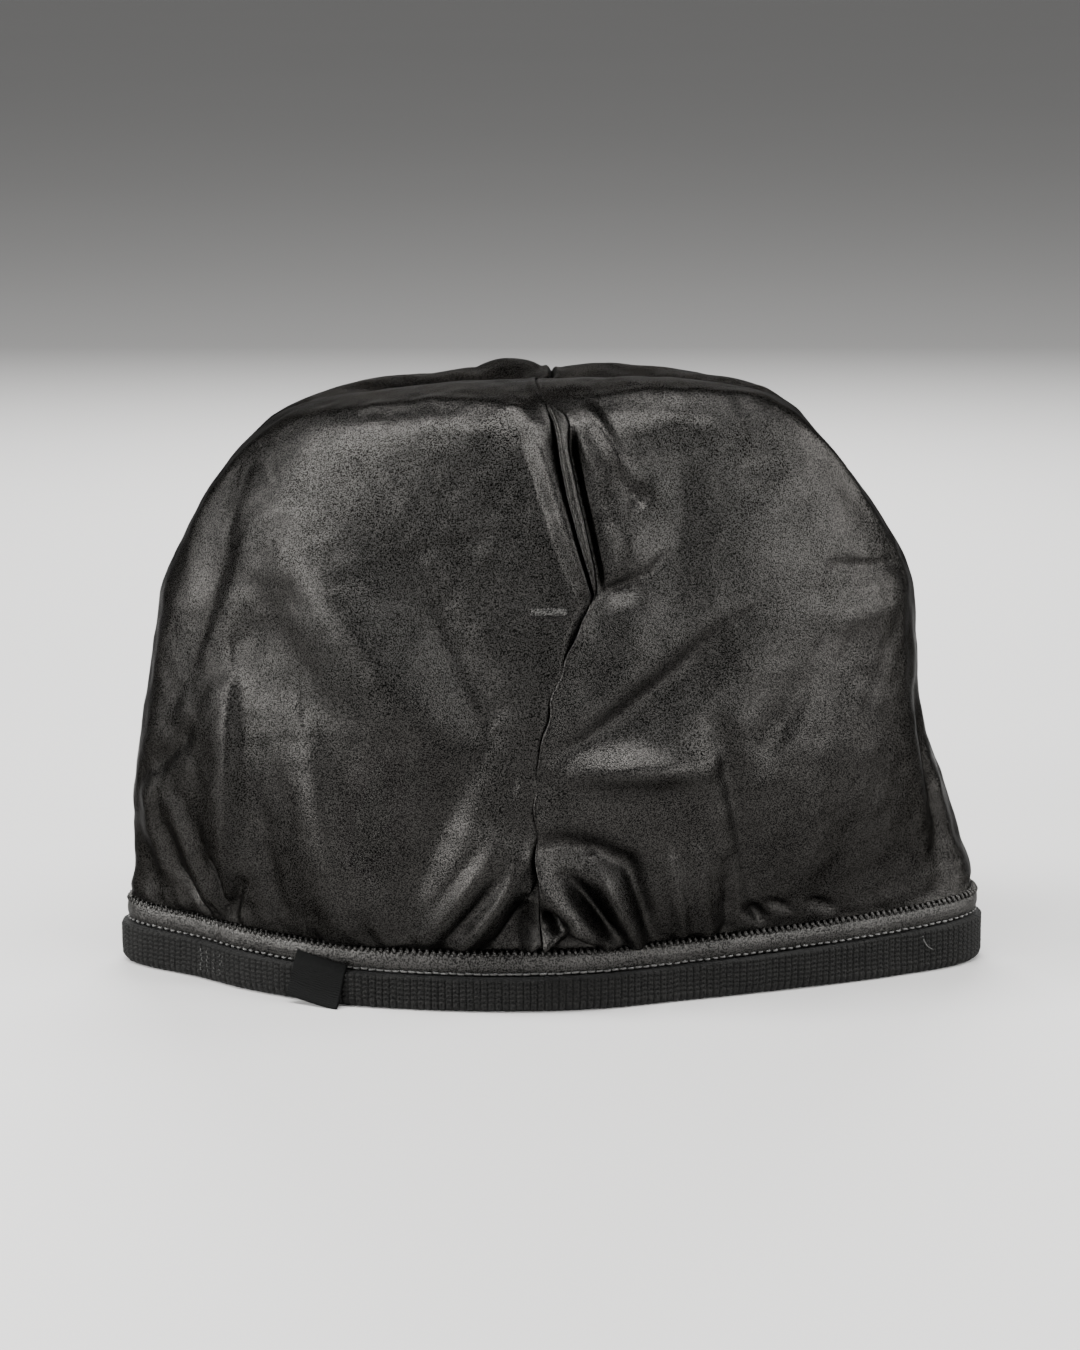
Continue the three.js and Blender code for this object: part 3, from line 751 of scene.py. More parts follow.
class Effects:
    """Shader node groups that more than one finish uses, each built once."""

    def __init__(self) -> None:
        """Builds the groups."""
        self.grain = self._grain()
        self.weave = self._weave()

    @staticmethod
    def _group(name: str, inputs: dict[str, float], outputs: tuple[str, ...]) -> bpy.types.NodeTree:
        """Starts a group.

        Args:
            name: Its name.
            inputs: Float inputs and their values.
            outputs: Float outputs.

        Returns:
            The node tree, with its input and output nodes.
        """
        tree = bpy.data.node_groups.new(name, "ShaderNodeTree")
        for label, value in inputs.items():
            socket = tree.interface.new_socket(label, in_out="INPUT", socket_type="NodeSocketFloat")
            socket.default_value = value
        for label in outputs:
            tree.interface.new_socket(label, in_out="OUTPUT", socket_type="NodeSocketFloat")
        tree.nodes.new("NodeGroupInput")
        tree.nodes.new("NodeGroupOutput")
        return tree

    @staticmethod
    def _sum(tree: bpy.types.NodeTree, operation: str, *values: float | Socket) -> Socket:
        """Adds a sum to a group.

        Args:
            tree: The group.
            operation: The kind of sum.
            *values: A number, or a socket to link, for each input.

        Returns:
            The sum's result.
        """
        node = tree.nodes.new("ShaderNodeMath")
        node.operation = operation
        for socket, value in zip(node.inputs, values):
            if isinstance(value, bpy.types.NodeSocket):
                tree.links.new(value, socket)
            else:
                socket.default_value = value
        return node.outputs[0]

    def _grain(self) -> bpy.types.NodeTree:
        """Fine speckle of the thread ends, and slow cloudy variation of the cloth.

        Returns:
            The group.
        """
        inputs = {"Speckle Size": 0.45, "Cloud Size": 14.0}
        tree = self._group("cloth_grain", inputs, ("Speckle", "Cloud"))
        nodes, links = tree.nodes, tree.links
        source, target = nodes["Group Input"], nodes["Group Output"]
        where = nodes.new("ShaderNodeTexCoord")
        for label, detail in (("Speckle", 2.0), ("Cloud", 3.0)):
            scale = self._sum(tree, "DIVIDE", 1 / MM, source.outputs[f"{label} Size"])
            noise = nodes.new("ShaderNodeTexNoise")
            noise.inputs["Detail"].default_value = detail
            links.new(where.outputs["Object"], noise.inputs["Vector"])
            links.new(scale, noise.inputs["Scale"])
            links.new(noise.outputs["Fac"], target.inputs[label])
        return tree

    def _weave(self) -> bpy.types.NodeTree:
        """Slanting ribs of a twill, laid along the cloth.

        Returns:
            The group.
        """
        tree = self._group("cloth_weave", {"Pitch": 0.5, "Slant": 0.6, "Uneven": 1.5}, ("Rib",))
        nodes, links = tree.nodes, tree.links
        source, target = nodes["Group Input"], nodes["Group Output"]
        cloth = nodes.new("ShaderNodeUVMap")
        cloth.uv_map = "cloth"
        split = nodes.new("ShaderNodeSeparateXYZ")
        links.new(cloth.outputs[0], split.inputs[0])
        x, y = split.outputs["X"], split.outputs["Y"]
        slanted = self._sum(tree, "MULTIPLY_ADD", x, source.outputs["Slant"], y)
        ribs = self._sum(tree, "DIVIDE", CM, source.outputs["Pitch"])
        turns = self._sum(tree, "MULTIPLY", slanted, ribs)
        where = nodes.new("ShaderNodeTexCoord")
        noise = nodes.new("ShaderNodeTexNoise")
        noise.inputs["Scale"].default_value = WEAVE_WANDER
        links.new(where.outputs["Object"], noise.inputs["Vector"])
        shaken = self._sum(tree, "MULTIPLY_ADD", noise.outputs["Fac"], source.outputs["Uneven"], turns)
        wave = self._sum(tree, "SINE", self._sum(tree, "MULTIPLY", shaken, 2 * math.pi))
        links.new(self._sum(tree, "MULTIPLY_ADD", wave, 0.5, 0.5), target.inputs["Rib"])
        return tree


EFFECTS = Effects()


@dataclass(frozen=True)
class ClothFinish:
    """A cloth's finish.

    dark and light are the tones of its threads, and smooth and rough its least and greatest
    roughness. Sizes, depths and the ribs' pitch are in millimetres. lustre is how much of the
    tone is the shine of the threads themselves, and edge_tone how light that shine stays where
    the cloth turns away. gloss is the shine over the rest.
    """

    name: str
    dark: Colour
    light: Colour
    smooth: float
    rough: float
    speckle_size: float = 0.45
    cloud_size: float = 14.0
    pitch: float = 0.5
    slant: float = 0.6
    grain_depth: float = 0.06
    weave_depth: float = 0.04
    speckle_share: float = 0.6
    sheen: float = 0.0
    sheen_rough: float = 0.4
    gloss: float = 0.5
    lustre: float = 0.0
    edge_tone: float = 1.0
    cloud_spread: float = 0.2
    speckle_spread: float = 0.1
    rough_spread: float = 0.4

    def material(self) -> bpy.types.Material:
        """Builds the material.

        Returns:
            A new material with the cloth's colour, roughness and bump nodes.
        """
        material = bpy.data.materials.new(self.name)
        material.use_nodes = True
        nodes, links = material.node_tree.nodes, material.node_tree.links
        shader = nodes["Principled BSDF"]
        shine = {"Metallic": self.lustre, "Specular Tint": (*[self.edge_tone] * 3, 1)}
        fuzz = {"Sheen Weight": self.sheen, "Sheen Roughness": self.sheen_rough}
        set_inputs(shader, {"Specular IOR Level": self.gloss, **shine, **fuzz})
        grain = nodes.new("ShaderNodeGroup")
        grain.node_tree = EFFECTS.grain
        set_inputs(grain, {"Speckle Size": self.speckle_size, "Cloud Size": self.cloud_size})
        weave = nodes.new("ShaderNodeGroup")
        weave.node_tree = EFFECTS.weave
        set_inputs(weave, {"Pitch": self.pitch, "Slant": self.slant})

        def blend(share: Socket, spread: float, low: float, high: float) -> Socket:
            """Maps a share that keeps near a half.

            Args:
                share: The share.
                spread: How far below and above a half the map begins and ends.
                low: What the beginning maps to.
                high: What the end maps to.

            Returns:
                The mapped value.
            """
            node = nodes.new("ShaderNodeMapRange")
            set_inputs(node, {"From Min": 0.5 - spread, "From Max": 0.5 + spread})
            set_inputs(node, {"To Min": low, "To Max": high})
            links.new(share, node.inputs["Value"])
            return node.outputs["Result"]

        both = nodes.new("ShaderNodeMix")
        both.inputs["Factor"].default_value = self.speckle_share
        links.new(blend(grain.outputs["Cloud"], self.cloud_spread, 0, 1), both.inputs["A"])
        links.new(blend(grain.outputs["Speckle"], self.speckle_spread, 0, 1), both.inputs["B"])
        tone = nodes.new("ShaderNodeMix")
        tone.data_type = "RGBA"
        set_inputs(tone, {"A": (*self.dark, 1), "B": (*self.light, 1)})
        links.new(both.outputs["Result"], tone.inputs["Factor"])
        links.new(tone.outputs["Result"], shader.inputs["Base Color"])
        roughness = blend(both.outputs["Result"], self.rough_spread, self.smooth, self.rough)
        links.new(roughness, shader.inputs["Roughness"])
        under = None
        heights = (grain.outputs["Speckle"], self.grain_depth), (weave.outputs["Rib"], self.weave_depth)
        for height, depth in heights:
            bump = nodes.new("ShaderNodeBump")
            bump.inputs["Distance"].default_value = depth * MM
            links.new(height, bump.inputs["Height"])
            if under:
                links.new(under, bump.inputs["Normal"])
            under = bump.outputs["Normal"]
        links.new(under, shader.inputs["Normal"])
        return material


SATIN = ClothFinish(
    "satin", (0.0015, 0.0015, 0.0015), (0.0385, 0.0369, 0.0348), 0.28, 0.40,
    speckle_size=0.36, grain_depth=0.13, weave_depth=0.012, pitch=0.45, speckle_share=0.8,
    lustre=1.0, edge_tone=0.35,
)  # fmt: skip
# The roll is the lining's own satin. Its lighter tone here is painted light, standing in for the
# overhead light that the roll's rounded top catches. Its teeth and the bar tack share this finish.
LIT_ROLL = ClothFinish(
    "roll_satin", (0.004, 0.004, 0.0038), (0.062, 0.06, 0.057), 0.34, 0.5,
    speckle_size=0.45, grain_depth=0.2, weave_depth=0.02, pitch=0.4, speckle_share=0.8,
    lustre=0.9, edge_tone=0.5,
)  # fmt: skip
KNIT = ClothFinish(
    "knit", (0.0006, 0.0006, 0.0006), (0.0125, 0.0123, 0.0115), 0.7, 0.95,
    speckle_size=0.4, grain_depth=0.4, weave_depth=0.03, pitch=0.35, speckle_share=0.9,
    sheen=0.03, gloss=0.12,
)  # fmt: skip
THREAD = ClothFinish(
    "thread", (0.015, 0.0146, 0.0136), (0.06, 0.0588, 0.0545), 0.5, 0.7,
    speckle_size=0.3, grain_depth=0.05, weave_depth=0.04, pitch=0.25, sheen=0.2,
)  # fmt: skip
TAPE = ClothFinish(
    "woven_tape", (0.0008, 0.0009, 0.0008), (0.003, 0.0031, 0.003), 0.6, 0.8,
    speckle_size=0.3, grain_depth=0.05, weave_depth=0.07, pitch=0.42, slant=0.0, gloss=0.05,
)  # fmt: skip
FINISHES = {finish.name: finish.material() for finish in (SATIN, LIT_ROLL, KNIT, THREAD, TAPE)}


# ---- The satin lining -------------------------------------------------------------------------


# A fold's path has this many places. It lies on cloth that looks at least this much its way.
FOLD_STEPS = 15
FACING = 0.3
# How many widths away a round fold and a crease have died away, and how fully a fold keeps up.
ROUND_REACH = 2.6
CREASE_REACH = 4
TAPER_POWER = 0.6


@dataclass(frozen=True)
class LaidFold:
    """A fold with its path over the cloth, ready to be measured from."""

    fold: Fold
    path: Points

    @classmethod
    def lay(cls, fold: Fold, points: Points, normals: Points) -> "LaidFold":
        """Lays a fold on the smooth satin.

        Args:
            fold: The fold.
            points: Places all over the smooth satin.
            normals: Their outward normals.

        Returns:
            The fold with the places that it runs through.
        """
        across, up, depth, sign = fold.face.value
        points = points[normals[:, depth] * sign > FACING]
        bow = bowed(fold.start, fold.via, fold.end, FOLD_STEPS)
        away = np.hypot(points[:, across] - bow[:, :1], points[:, up] - bow[:, 1:])
        near = points[away.argmin(1), depth]
        path = np.zeros((len(bow), 3))
        path[:, across], path[:, up] = bow[:, 0], bow[:, 1]
        path[:, depth] = np.convolve(np.pad(near, 1, mode="edge"), [0.25, 0.5, 0.25], "valid")
        return cls(fold, path)

    def height(self, points: Points) -> Points:
        """The fold's height at places of the smooth satin.

        Args:
            points: The places.

        Returns:
            One height for each.
        """
        fold = self.fold
        reach = max(fold.width, fold.other_width) * (ROUND_REACH if fold.blunt >= 2 else CREASE_REACH)
        low, high = self.path.min(0) - reach, self.path.max(0) + reach
        near = ((points > low) & (points < high)).all(1)
        total = np.zeros(len(points))
        if not near.any():
            return total
        here = points[near]
        starts, runs = self.path[:-1], np.diff(self.path, axis=0)
        offset = here[:, None] - starts
        t = np.clip((offset * runs).sum(-1) / (runs * runs).sum(-1), 0, 1)
        offset -= t[..., None] * runs
        away = np.linalg.norm(offset, axis=-1)
        nearest = away.argmin(1)
        pick = np.arange(len(here))
        _, _, depth, sign = fold.face.value
        outward = np.zeros(3)
        outward[depth] = sign
        on_right = (offset[pick, nearest] * np.cross(runs[nearest], outward)).sum(-1) > 0
        width = np.where(on_right & (fold.other_width > 0), fold.other_width, fold.width)
        share = (nearest + t[pick, nearest]) / len(runs)
        inner = fold.start_taper + share * (1 - fold.start_taper - fold.end_taper)
        taper = np.sin(math.pi * inner) ** TAPER_POWER
        total[near] = fold.height * taper * np.exp(-((away[pick, nearest] / width) ** fold.blunt))
        return total


@dataclass(frozen=True)
class SatinHalf:
    """One half of the satin lining, from the hem over the crown, with its folds and seam edges.

    A pair of heights says where something begins or ends up the seam. A row of beads has a
    height, how far it lies from the seam and a width. Spacings are shares of the way and the
    relative spacing there.
    """

    name: str
    node: str
    half: Half
    columns: int = 330
    rows: int = 216
    crown_rows: int = 9
    coarse: int = 3
    row_spacing: tuple[Place, ...] = ((0, 0.6), (0.1, 0.85), (0.6, 1.0), (0.85, 0.9), (1, 1.4))
    column_spacing: tuple[Place, ...] = (
        (0, 0.17), (0.035, 0.3), (0.12, 0.6), (0.42, 0.85), (0.6, 1.3), (0.95, 1.5), (1, 0.6),
    )  # fmt: skip
    # The line up the cloth that the rows are spaced by, and the column of its cloth coordinates.
    measured: int = 400
    measured_beside: float = 0.35
    up_column: int = 40
    thickness: float = 0.8
    seam_gap: float = 0.3
    # The lower edge turned in behind the roll, as insets and heights over the band.
    tuck: tuple[Place, ...] = ((4.9, 3.6), (4.8, 6.4), (4.3, 7.35))
    # The cloth's own waviness and the puckers over the roll.
    fine_waves: Waves = Waves(0.09, 8, count=40)
    slow_waves: Waves = Waves(0.4, 46, count=24, seed=SEED + 1)
    puckers: Waves = Waves(0.42, 6, count=24, seed=SEED + 13)
    pucker_squash: float = 0.25
    pucker_top: float = 7
    pucker_fade: float = 4.5
    # The sections over which the folds rise out of the hem.
    first_rows: Place = (-0.2, 0.8)
    # The lap of the right half over the left, below the dart: what sinks under, and what lies over.
    lap_top: Place = (117, 121.5)
    lap_waves: Waves = Waves(0.5, 16, count=8, seed=SEED + 3)
    under_depth: float = 0.8
    under_width: float = 1.9
    over_height: float = 0.9
    over_wave: float = 0.4
    over_width: float = 3.0
    over_edge: tuple[Triple, ...] = ((-0.3, 0, 0.3),)
    # The open dart: the rolled left edge, and the leaf and hollow on the right. leaf_rim is a
    # height and a width. The drop and the two rises are counted from the leaf's edge.
    dart_foot: Place = (118.5, 122.5)
    dart_top: Place = (166, 172)
    ridge_turn: Place = (142, 160)
    ridge_fall: Place = (0.4, 1.25)
    ridge_reach: float = 5.4
    ridge_edge: tuple[Triple, ...] = ((-1.6, 0, 0.4),)
    leaf_root: float = 2.6
    leaf_start: float = 0.45
    leaf_beads: tuple[Triple, ...] = ((0.35, 0.55, 0.22), (0.3, 1.35, 0.18))
    leaf_rim: Place = (0.45, 0.3)
    leaf_drop: Place = (0.3, 0.9)
    near_rise: Place = (1.6, 3.4)
    near_share: float = 0.6
    far_rise: Place = (2, 2.2)
    # The plain seams over the crown and down the back.
    crown_left: tuple[Triple, ...] = ((0.45, 0.5, 1.0),)
    crown_right: tuple[Triple, ...] = ((-0.5, 0, 0.9),)
    back_beads: tuple[Triple, ...] = ((0.35, 1.4, 1.2), (-1.1, 0, 0.7))
    back_pull: float = 0.12
    back_pull_width: float = 2.5
    back_stitch: float = 4.5
    # The straight edge of the seam allowance under the left half.
    allowance_x: float = -6.3
    allowance_edge: Place = (-0.4, 0.3)
    allowance_height: float = 0.07
    allowance_foot: Place = (30, 44)
    allowance_top: Place = (156, 166)
    # How far each half slides over the seam, and over what width.
    slide_foot: Place = (30, 38)
    slide_top: Place = (116, 121)
    slide_crown: Place = (164, 168)
    slide_waves: Waves = Waves(0.55, 13, count=9, seed=SEED + 4)
    slide_right: Place = (0.8, 2.2)
    slide_left: Place = (0.5, 1.0)
    slide_over_crown: float = 0.55

    def build(self) -> bpy.types.Object:
        """Builds the half.

        Returns:
            The finished piece.
        """
        sign = self.half.value
        angle, level, crown = self._parameters()
        # The crown's last rows close in on its top point.
        base = HAT.satin(angle, level) * (1 - crown) + np.array(CROWN_TOP) * crown
        around = np.gradient(base, axis=1) * sign
        normal = unit(np.cross(around, np.gradient(base, axis=0)))
        normal[-1] = (0, 0, 1)
        across = arc_lengths(base, 1)
        front, back = across, across[:, -1:] - across
        height = self._folds(base, normal) + self._front_edge(front, base)
        height += self._back_edge(back, base) + self._allowance(base)
        height += self.fine_waves.at(base) + self.slow_waves.at(base)
        above_hem = base[..., 2] - HAT.hem_rise(base[..., 0]) - HAT.band_height
        pucker = self.puckers.at(base * (1, 1, self.pucker_squash))
        height += pucker * np.exp(-np.clip(above_hem - self.pucker_top, 0, None) / self.pucker_fade)
        height *= ease(*self.first_rows, level)
        slide = self._overlap(front, base)[..., None] * unit(around) * sign
        face = base + normal * height[..., None] + slide
        face[:, [0, -1], 0] += sign * self.seam_gap / 2
        tuck = np.stack([HAT.hem_point(angle[0], inset, above) for inset, above in self.tuck])
        # The hidden face keeps below the lowest place nearby, so that it never shows at a steep edge.
        reach = 2 * self.coarse + 1
        padded = np.pad(height, self.coarse, "edge")
        lowest = np.lib.stride_tricks.sliding_window_view(padded, (reach, reach)).min(axis=(-2, -1))
        drop = np.concatenate([np.zeros((len(tuck), height.shape[1])), height - lowest])
        normal = np.concatenate([np.repeat(normal[:1], len(tuck), 0), normal])
        return self._close(np.concatenate([tuck, face]), normal, self.thickness + drop)

    def _parameters(self) -> tuple[Points, Points, Points]:
        """Lays out the grid.

        Returns:
            Its angles and levels, and how far each row has closed in on the crown's top.
        """
        evenly = np.linspace(0, TOP_LEVEL, self.measured)
        run = arc_lengths(HAT.satin(np.full(self.measured, FRONT + self.measured_beside), evenly), 0)
        shares = crowded(self.rows - 1, self.row_spacing)
        levels = np.interp(shares * run[-1], run, evenly)
        levels = np.concatenate([levels, np.full(self.crown_rows, float(TOP_LEVEL))])
        crown = np.concatenate([np.zeros(self.rows), np.linspace(0, 1, self.crown_rows + 1)[1:]])
        seam = HAT.seam_angle(levels)
        span = BACK - seam if self.half is Half.RIGHT else seam - BACK + 2 * math.pi
        shares = crowded(self.columns, self.column_spacing)
        angle = seam[:, None] + self.half.value * span[:, None] * shares
        return angle, np.repeat(levels[:, None], self.columns + 1, 1), crown[:, None, None]

    def _folds(self, base: Points, normal: Points) -> Points:
        """The folds that lie on this half.

        Args:
            base: Places of the smooth satin.
            normal: Their outward normals.

        Returns:
            Heights to add.
        """
        points, normals = base.reshape(-1, 3), normal.reshape(-1, 3)
        total = np.zeros(len(points))
        for fold in FOLDS:
            if fold.half in (self.half, Half.BOTH):
                total += LaidFold.lay(fold, points, normals).height(points)
        return total.reshape(base.shape[:2])

    def _front_edge(self, away: Points, base: Points) -> Points:
        """The cloth's height beside the front seam: the lap below, the open dart, the crown's seam.

        Args:
            away: Distance from the seam along the cloth.
            base: Places of the smooth satin.

        Returns:
            Heights to add.
        """
        z = base[:, :1, 2]
        on_front = base[:, :1, 1] < 0
        row_z = [row.z for row in DART]
        crest, ridge, width, leaf, hollow, reach = (
            np.interp(z, row_z, [getattr(row, name) for row in DART])
            for name in ("crest", "ridge", "leaf_width", "leaf", "hollow", "reach")
        )
        lap = on_front * (1 - ease(*self.lap_top, z))
        dart = on_front * ease(*self.dart_foot, z) * (1 - ease(*self.dart_top, z))
        wave = self.lap_waves.at(base[:, :1])
        if self.half is Half.LEFT:
            under = -(self.under_depth + wave) * bell(away, self.under_width)
            inside = np.clip((crest - away) / np.maximum(crest, 0.1), 0, 1)
            fall = np.interp(z, self.ridge_turn, self.ridge_fall)
            outside = 1 - ease(0, self.ridge_reach, away - crest)
            fold = ridge * np.where(away < crest, 1 - fall * inside**2, outside)
            fold += beads(away, self.ridge_edge)
            crossing = beads(away, self.crown_left)
        else:
            under = (self.over_height + self.over_wave * wave) * bell(away, self.over_width)
            under += beads(away, self.over_edge)
            fold = (leaf + self.leaf_root) * ease(0, self.leaf_start, away) - self.leaf_root
            fold += beads(away, self.leaf_beads)
            past = away - width
            fold += self.leaf_rim[0] * bell(past, self.leaf_rim[1])
            fold += (hollow - leaf) * ease(*self.leaf_drop, past)
            near = ease(*self.near_rise, past)
            far = ease(self.far_rise[0], self.far_rise[1] + reach, past)
            fold -= hollow * (self.near_share * near + (1 - self.near_share) * far)
            crossing = beads(away, self.crown_right)
        return lap * under + dart * fold + (1 - lap - dart) * crossing

    def _back_edge(self, away: Points, base: Points) -> Points:
        """The cloth's height beside the back seam, drawn in a little along its stitches."""
        pull = self.back_pull * np.sin(base[..., 2] * 2 * math.pi / self.back_stitch)
        return beads(away, self.back_beads) + pull * bell(away, self.back_pull_width)

    def _allowance(self, base: Points) -> Points:
        """The straight edge of the seam allowance, showing through the left half's front.

        Args:
            base: Places of the smooth satin.

        Returns:
            Heights to add.
        """
        if self.half is Half.RIGHT:
            return np.zeros(base.shape[:2])
        x, y, z = base[..., 0], base[..., 1], base[..., 2]
        shown = (y < 0) * ease(*self.allowance_foot, z) * (1 - ease(*self.allowance_top, z))
        return shown * self.allowance_height * ease(*self.allowance_edge, x - self.allowance_x)

    def _overlap(self, away: Points, base: Points) -> Points:
        """How far the cloth slides over the seam line, towards the other half.

        Args:
            away: Distance from the seam along the cloth.
            base: Places of the smooth satin.

        Returns:
            The slide at each place, below 0 over the line.
        """
        z, on_front = base[:, :1, 2], base[:, :1, 1] < 0
        lap = on_front * ease(*self.slide_foot, z) * (1 - ease(*self.slide_top, z))
        if self.half is Half.RIGHT:
            far, width = self.slide_right
            return -lap * (far + self.slide_waves.at(base[:, :1])) * bell(away, width)
        crown = 1 - on_front * (1 - ease(*self.slide_crown, z))
        far, width = self.slide_left
        return -(lap * far + crown * self.slide_over_crown) * bell(away, width)

    def _close(self, face: Points, normal: Points, depth: Points) -> bpy.types.Object:
        """Makes a closed sheet from the outer face.

        Args:
            face: The outer face's grid.
            normal: Its smooth form's normals.
            depth: How deep the inner face lies under each place.

        Returns:
            The piece.
        """
        builder = MeshBuilder()
        rows = face.shape[0] - (face.shape[0] - 1) % self.coarse
        face, normal, depth = face[-rows:], normal[-rows:], depth[-rows:]
        along = arc_lengths(face, 1) / CM
        up = np.repeat(arc_lengths(face[:, [self.up_column]], 0), face.shape[1], 1) / CM
        outer = builder.add_grid(face, np.stack([along, up], -1))
        inner_face = (face - normal * depth[..., None])[:: self.coarse, :: self.coarse]
        inner = builder.add_grid(inner_face)
        flip = self.half is Half.LEFT
        builder.fill(outer, turned=flip)
        builder.fill(inner, turned=not flip)
        builder.stitch(outer[0], inner[0], turned=not flip)
        builder.stitch(outer[-1], inner[-1], turned=flip)
        builder.stitch(outer[:, 0], inner[:, 0], turned=flip)
        builder.stitch(outer[:, -1], inner[:, -1], turned=not flip)
        return dress(builder.to_object(self.name, FINISHES["satin"]), "satin", self.node)


# ---- The hem: roll, stitching, band and body --------------------------------------------------


@dataclass(frozen=True)
class HemRoll:
    """The padded satin roll round the rim, drawn in by its stitches and joined at one place.

    dip and draw are how far its top goes down and in between two teeth. The groove under the
    thread line has a depth, a place up the roll from -1 to 1 and a width.
    """

    teeth: int = 300
    columns_per_tooth: int = 5
    around: int = 22
    height: float = 7.1
    thickness: float = 2.9
    inset: float = 1.2
    foot: float = 0.3
    squareness: float = 0.9
    girth_share: float = 0.32
    dip: float = 0.55
    draw: float = 0.25
    groove: Triple = (0.4, -0.72, 0.16)
    slow_swell: Waves = Waves(0.16, 26, seed=SEED + 5)
    quick_swell: Waves = Waves(0.08, 7, seed=SEED + 6)
    join_x: float = -96.6
    join_dent: Place = (0.55, 0.5)
    join_swell: float = 0.35
    join_run: Place = (-7, -0.6)
    fill: float = 0.9

    def build(self) -> bpy.types.Object:
        """Builds the roll.

        Returns:
            The finished piece.
        """
        count = self.teeth * self.columns_per_tooth
        angle = HAT.rim_angles(count)[:, None]
        turn = np.linspace(0, 2 * math.pi, self.around, endpoint=False)[None]
        # A rounded oblong: out is 1 on the front face, and up is 1 on the top.
        waves = (np.cos(turn), np.sin(turn))
        out, up = (np.sign(wave) * np.abs(wave) ** self.squareness for wave in waves)
        front, crest = np.clip(out, 0, 1), np.clip(up, 0, 1) ** 3
        between = 1 - np.abs(np.sin(math.pi * np.arange(count) / self.columns_per_tooth))[:, None]
        along = arc_lengths(HAT.outline(angle[:, 0]), 0)
        join = np.interp(HAT.front_angle(self.join_x) + 2 * math.pi, angle[:, 0], along)
        past = (along - join)[:, None]
        depth, width = self.join_dent
        ends = self.join_swell * ease(*self.join_run, past) * (past < 0) - depth * bell(past, width)
        rim = HAT.rim_point(angle, 0.0, 0.0)
        swell = (self.slow_swell.at(rim) + self.quick_swell.at(rim) + ends) * front
        inset = self.inset + self.thickness / 2 * (1 - out) - swell + self.draw * crest * between
        depth, place, width = self.groove
        inset = inset + depth * bell(up - place, width) * front
        above = self.foot + self.height / 2 * (1 + up) - self.dip * crest * between
        builder = MeshBuilder()
        girth = turn * self.height * self.girth_share / CM
        cloth = np.stack(np.broadcast_arrays(along[:, None] / CM, girth), -1)
        builder.fill_ring(builder.add_grid(HAT.hem_point(angle, inset, above), cloth))
        roll = dress(builder.to_object("hem_roll", FINISHES["roll_satin"]), "satin", "hem_binding")
        return roll


@dataclass(frozen=True)
class RollStitching:
    """Threads of the roll: looped teeth along its top and a straight line near its foot.

    A loop's steps are insets and heights over the band. A stitch's steps are shares of half its
    length and how deep they sink. Each girth is a share of the thread's radius at a step.
    """

    teeth: int = HemRoll.teeth
    loop: tuple[Place, ...] = ((1.5, 6.1), (1.45, 6.8), (1.9, 7.5), (2.8, 7.8), (3.7, 7.4))
    loop_girth: tuple[float, ...] = (0.6, 1.0, 1.0, 0.95, 0.6)
    loop_radius: float = 0.55
    loop_rise: Place = (-0.15, 0.2)
    loop_lean: Place = (-0.005, 0.001)
    loop_uneven: Place = (0.85, 1.12)
    loop_sides: int = 7
    line_pitch: float = 2.35
    stitch_length: float = 1.5
    stitch: tuple[Place, ...] = (
        (-1, 0.35), (-0.8, 0.05), (-0.3, -0.12), (0.3, -0.12), (0.8, 0.05), (1, 0.35),
    )  # fmt: skip
    stitch_girth: tuple[float, ...] = (0.5, 0.9, 1.0, 1.0, 0.9, 0.5)
    stitch_radius: float = 0.26
    stitch_inset: float = 1.55
    stitch_height: float = 1.05
    stitch_stray: float = 0.1
    stitch_lean: float = 0.08
    stitch_uneven: Place = (0.9, 1.15)

    def build(self) -> None:
        """Builds both rows of thread."""
        self._teeth()
        self._line()

    def _teeth(self) -> bpy.types.Object:
        """The overlocked loops that lie over the roll's top edge onto the satin.

        Returns:
            The finished piece.
        """
        builder = MeshBuilder()
        rng = np.random.default_rng(SEED + 7)
        inset, above = np.array(self.loop).T
        share = np.linspace(0, 1, len(inset))
        angles = HAT.rim_angles(self.teeth) + math.pi / self.teeth
        rises = rng.uniform(*self.loop_rise, self.teeth)
        leans = rng.uniform(*self.loop_lean, self.teeth)
        for angle, rise, lean in zip(angles, rises, leans):
            path = HAT.hem_point(angle + lean * share, inset, above + rise * share)
            girth = self.loop_radius * np.array(self.loop_girth) * rng.uniform(*self.loop_uneven)
            tube(builder, path, girth, self.loop_sides)
        return dress(builder.to_object("roll_teeth", FINISHES["roll_satin"]), "satin")

    def _line(self) -> bpy.types.Object:
        """The dashed line of straight stitches along the roll's foot.

        Returns:
            The finished piece.
        """
        builder = MeshBuilder()
        rng = np.random.default_rng(SEED + 8)
        length = arc_lengths(HAT.outline(np.linspace(0, 2 * math.pi, FINE - 1)), 0)[-1]
        step, sink = np.array(self.stitch).T
        half_turn = self.stitch_length / 2 * 2 * math.pi / length
        for angle in HAT.rim_angles(round(length / self.line_pitch)):
            stray = rng.uniform(-self.stitch_stray, self.stitch_stray)
            above = self.stitch_height + stray + step * rng.uniform(-self.stitch_lean, self.stitch_lean)
            path = HAT.hem_point(angle + step * half_turn, self.stitch_inset + sink, above)
            girth = self.stitch_radius * np.array(self.stitch_girth) * rng.uniform(*self.stitch_uneven)
            tube(builder, path, girth)
        return dress(builder.to_object("roll_thread_line", FINISHES["thread"]), "satin")


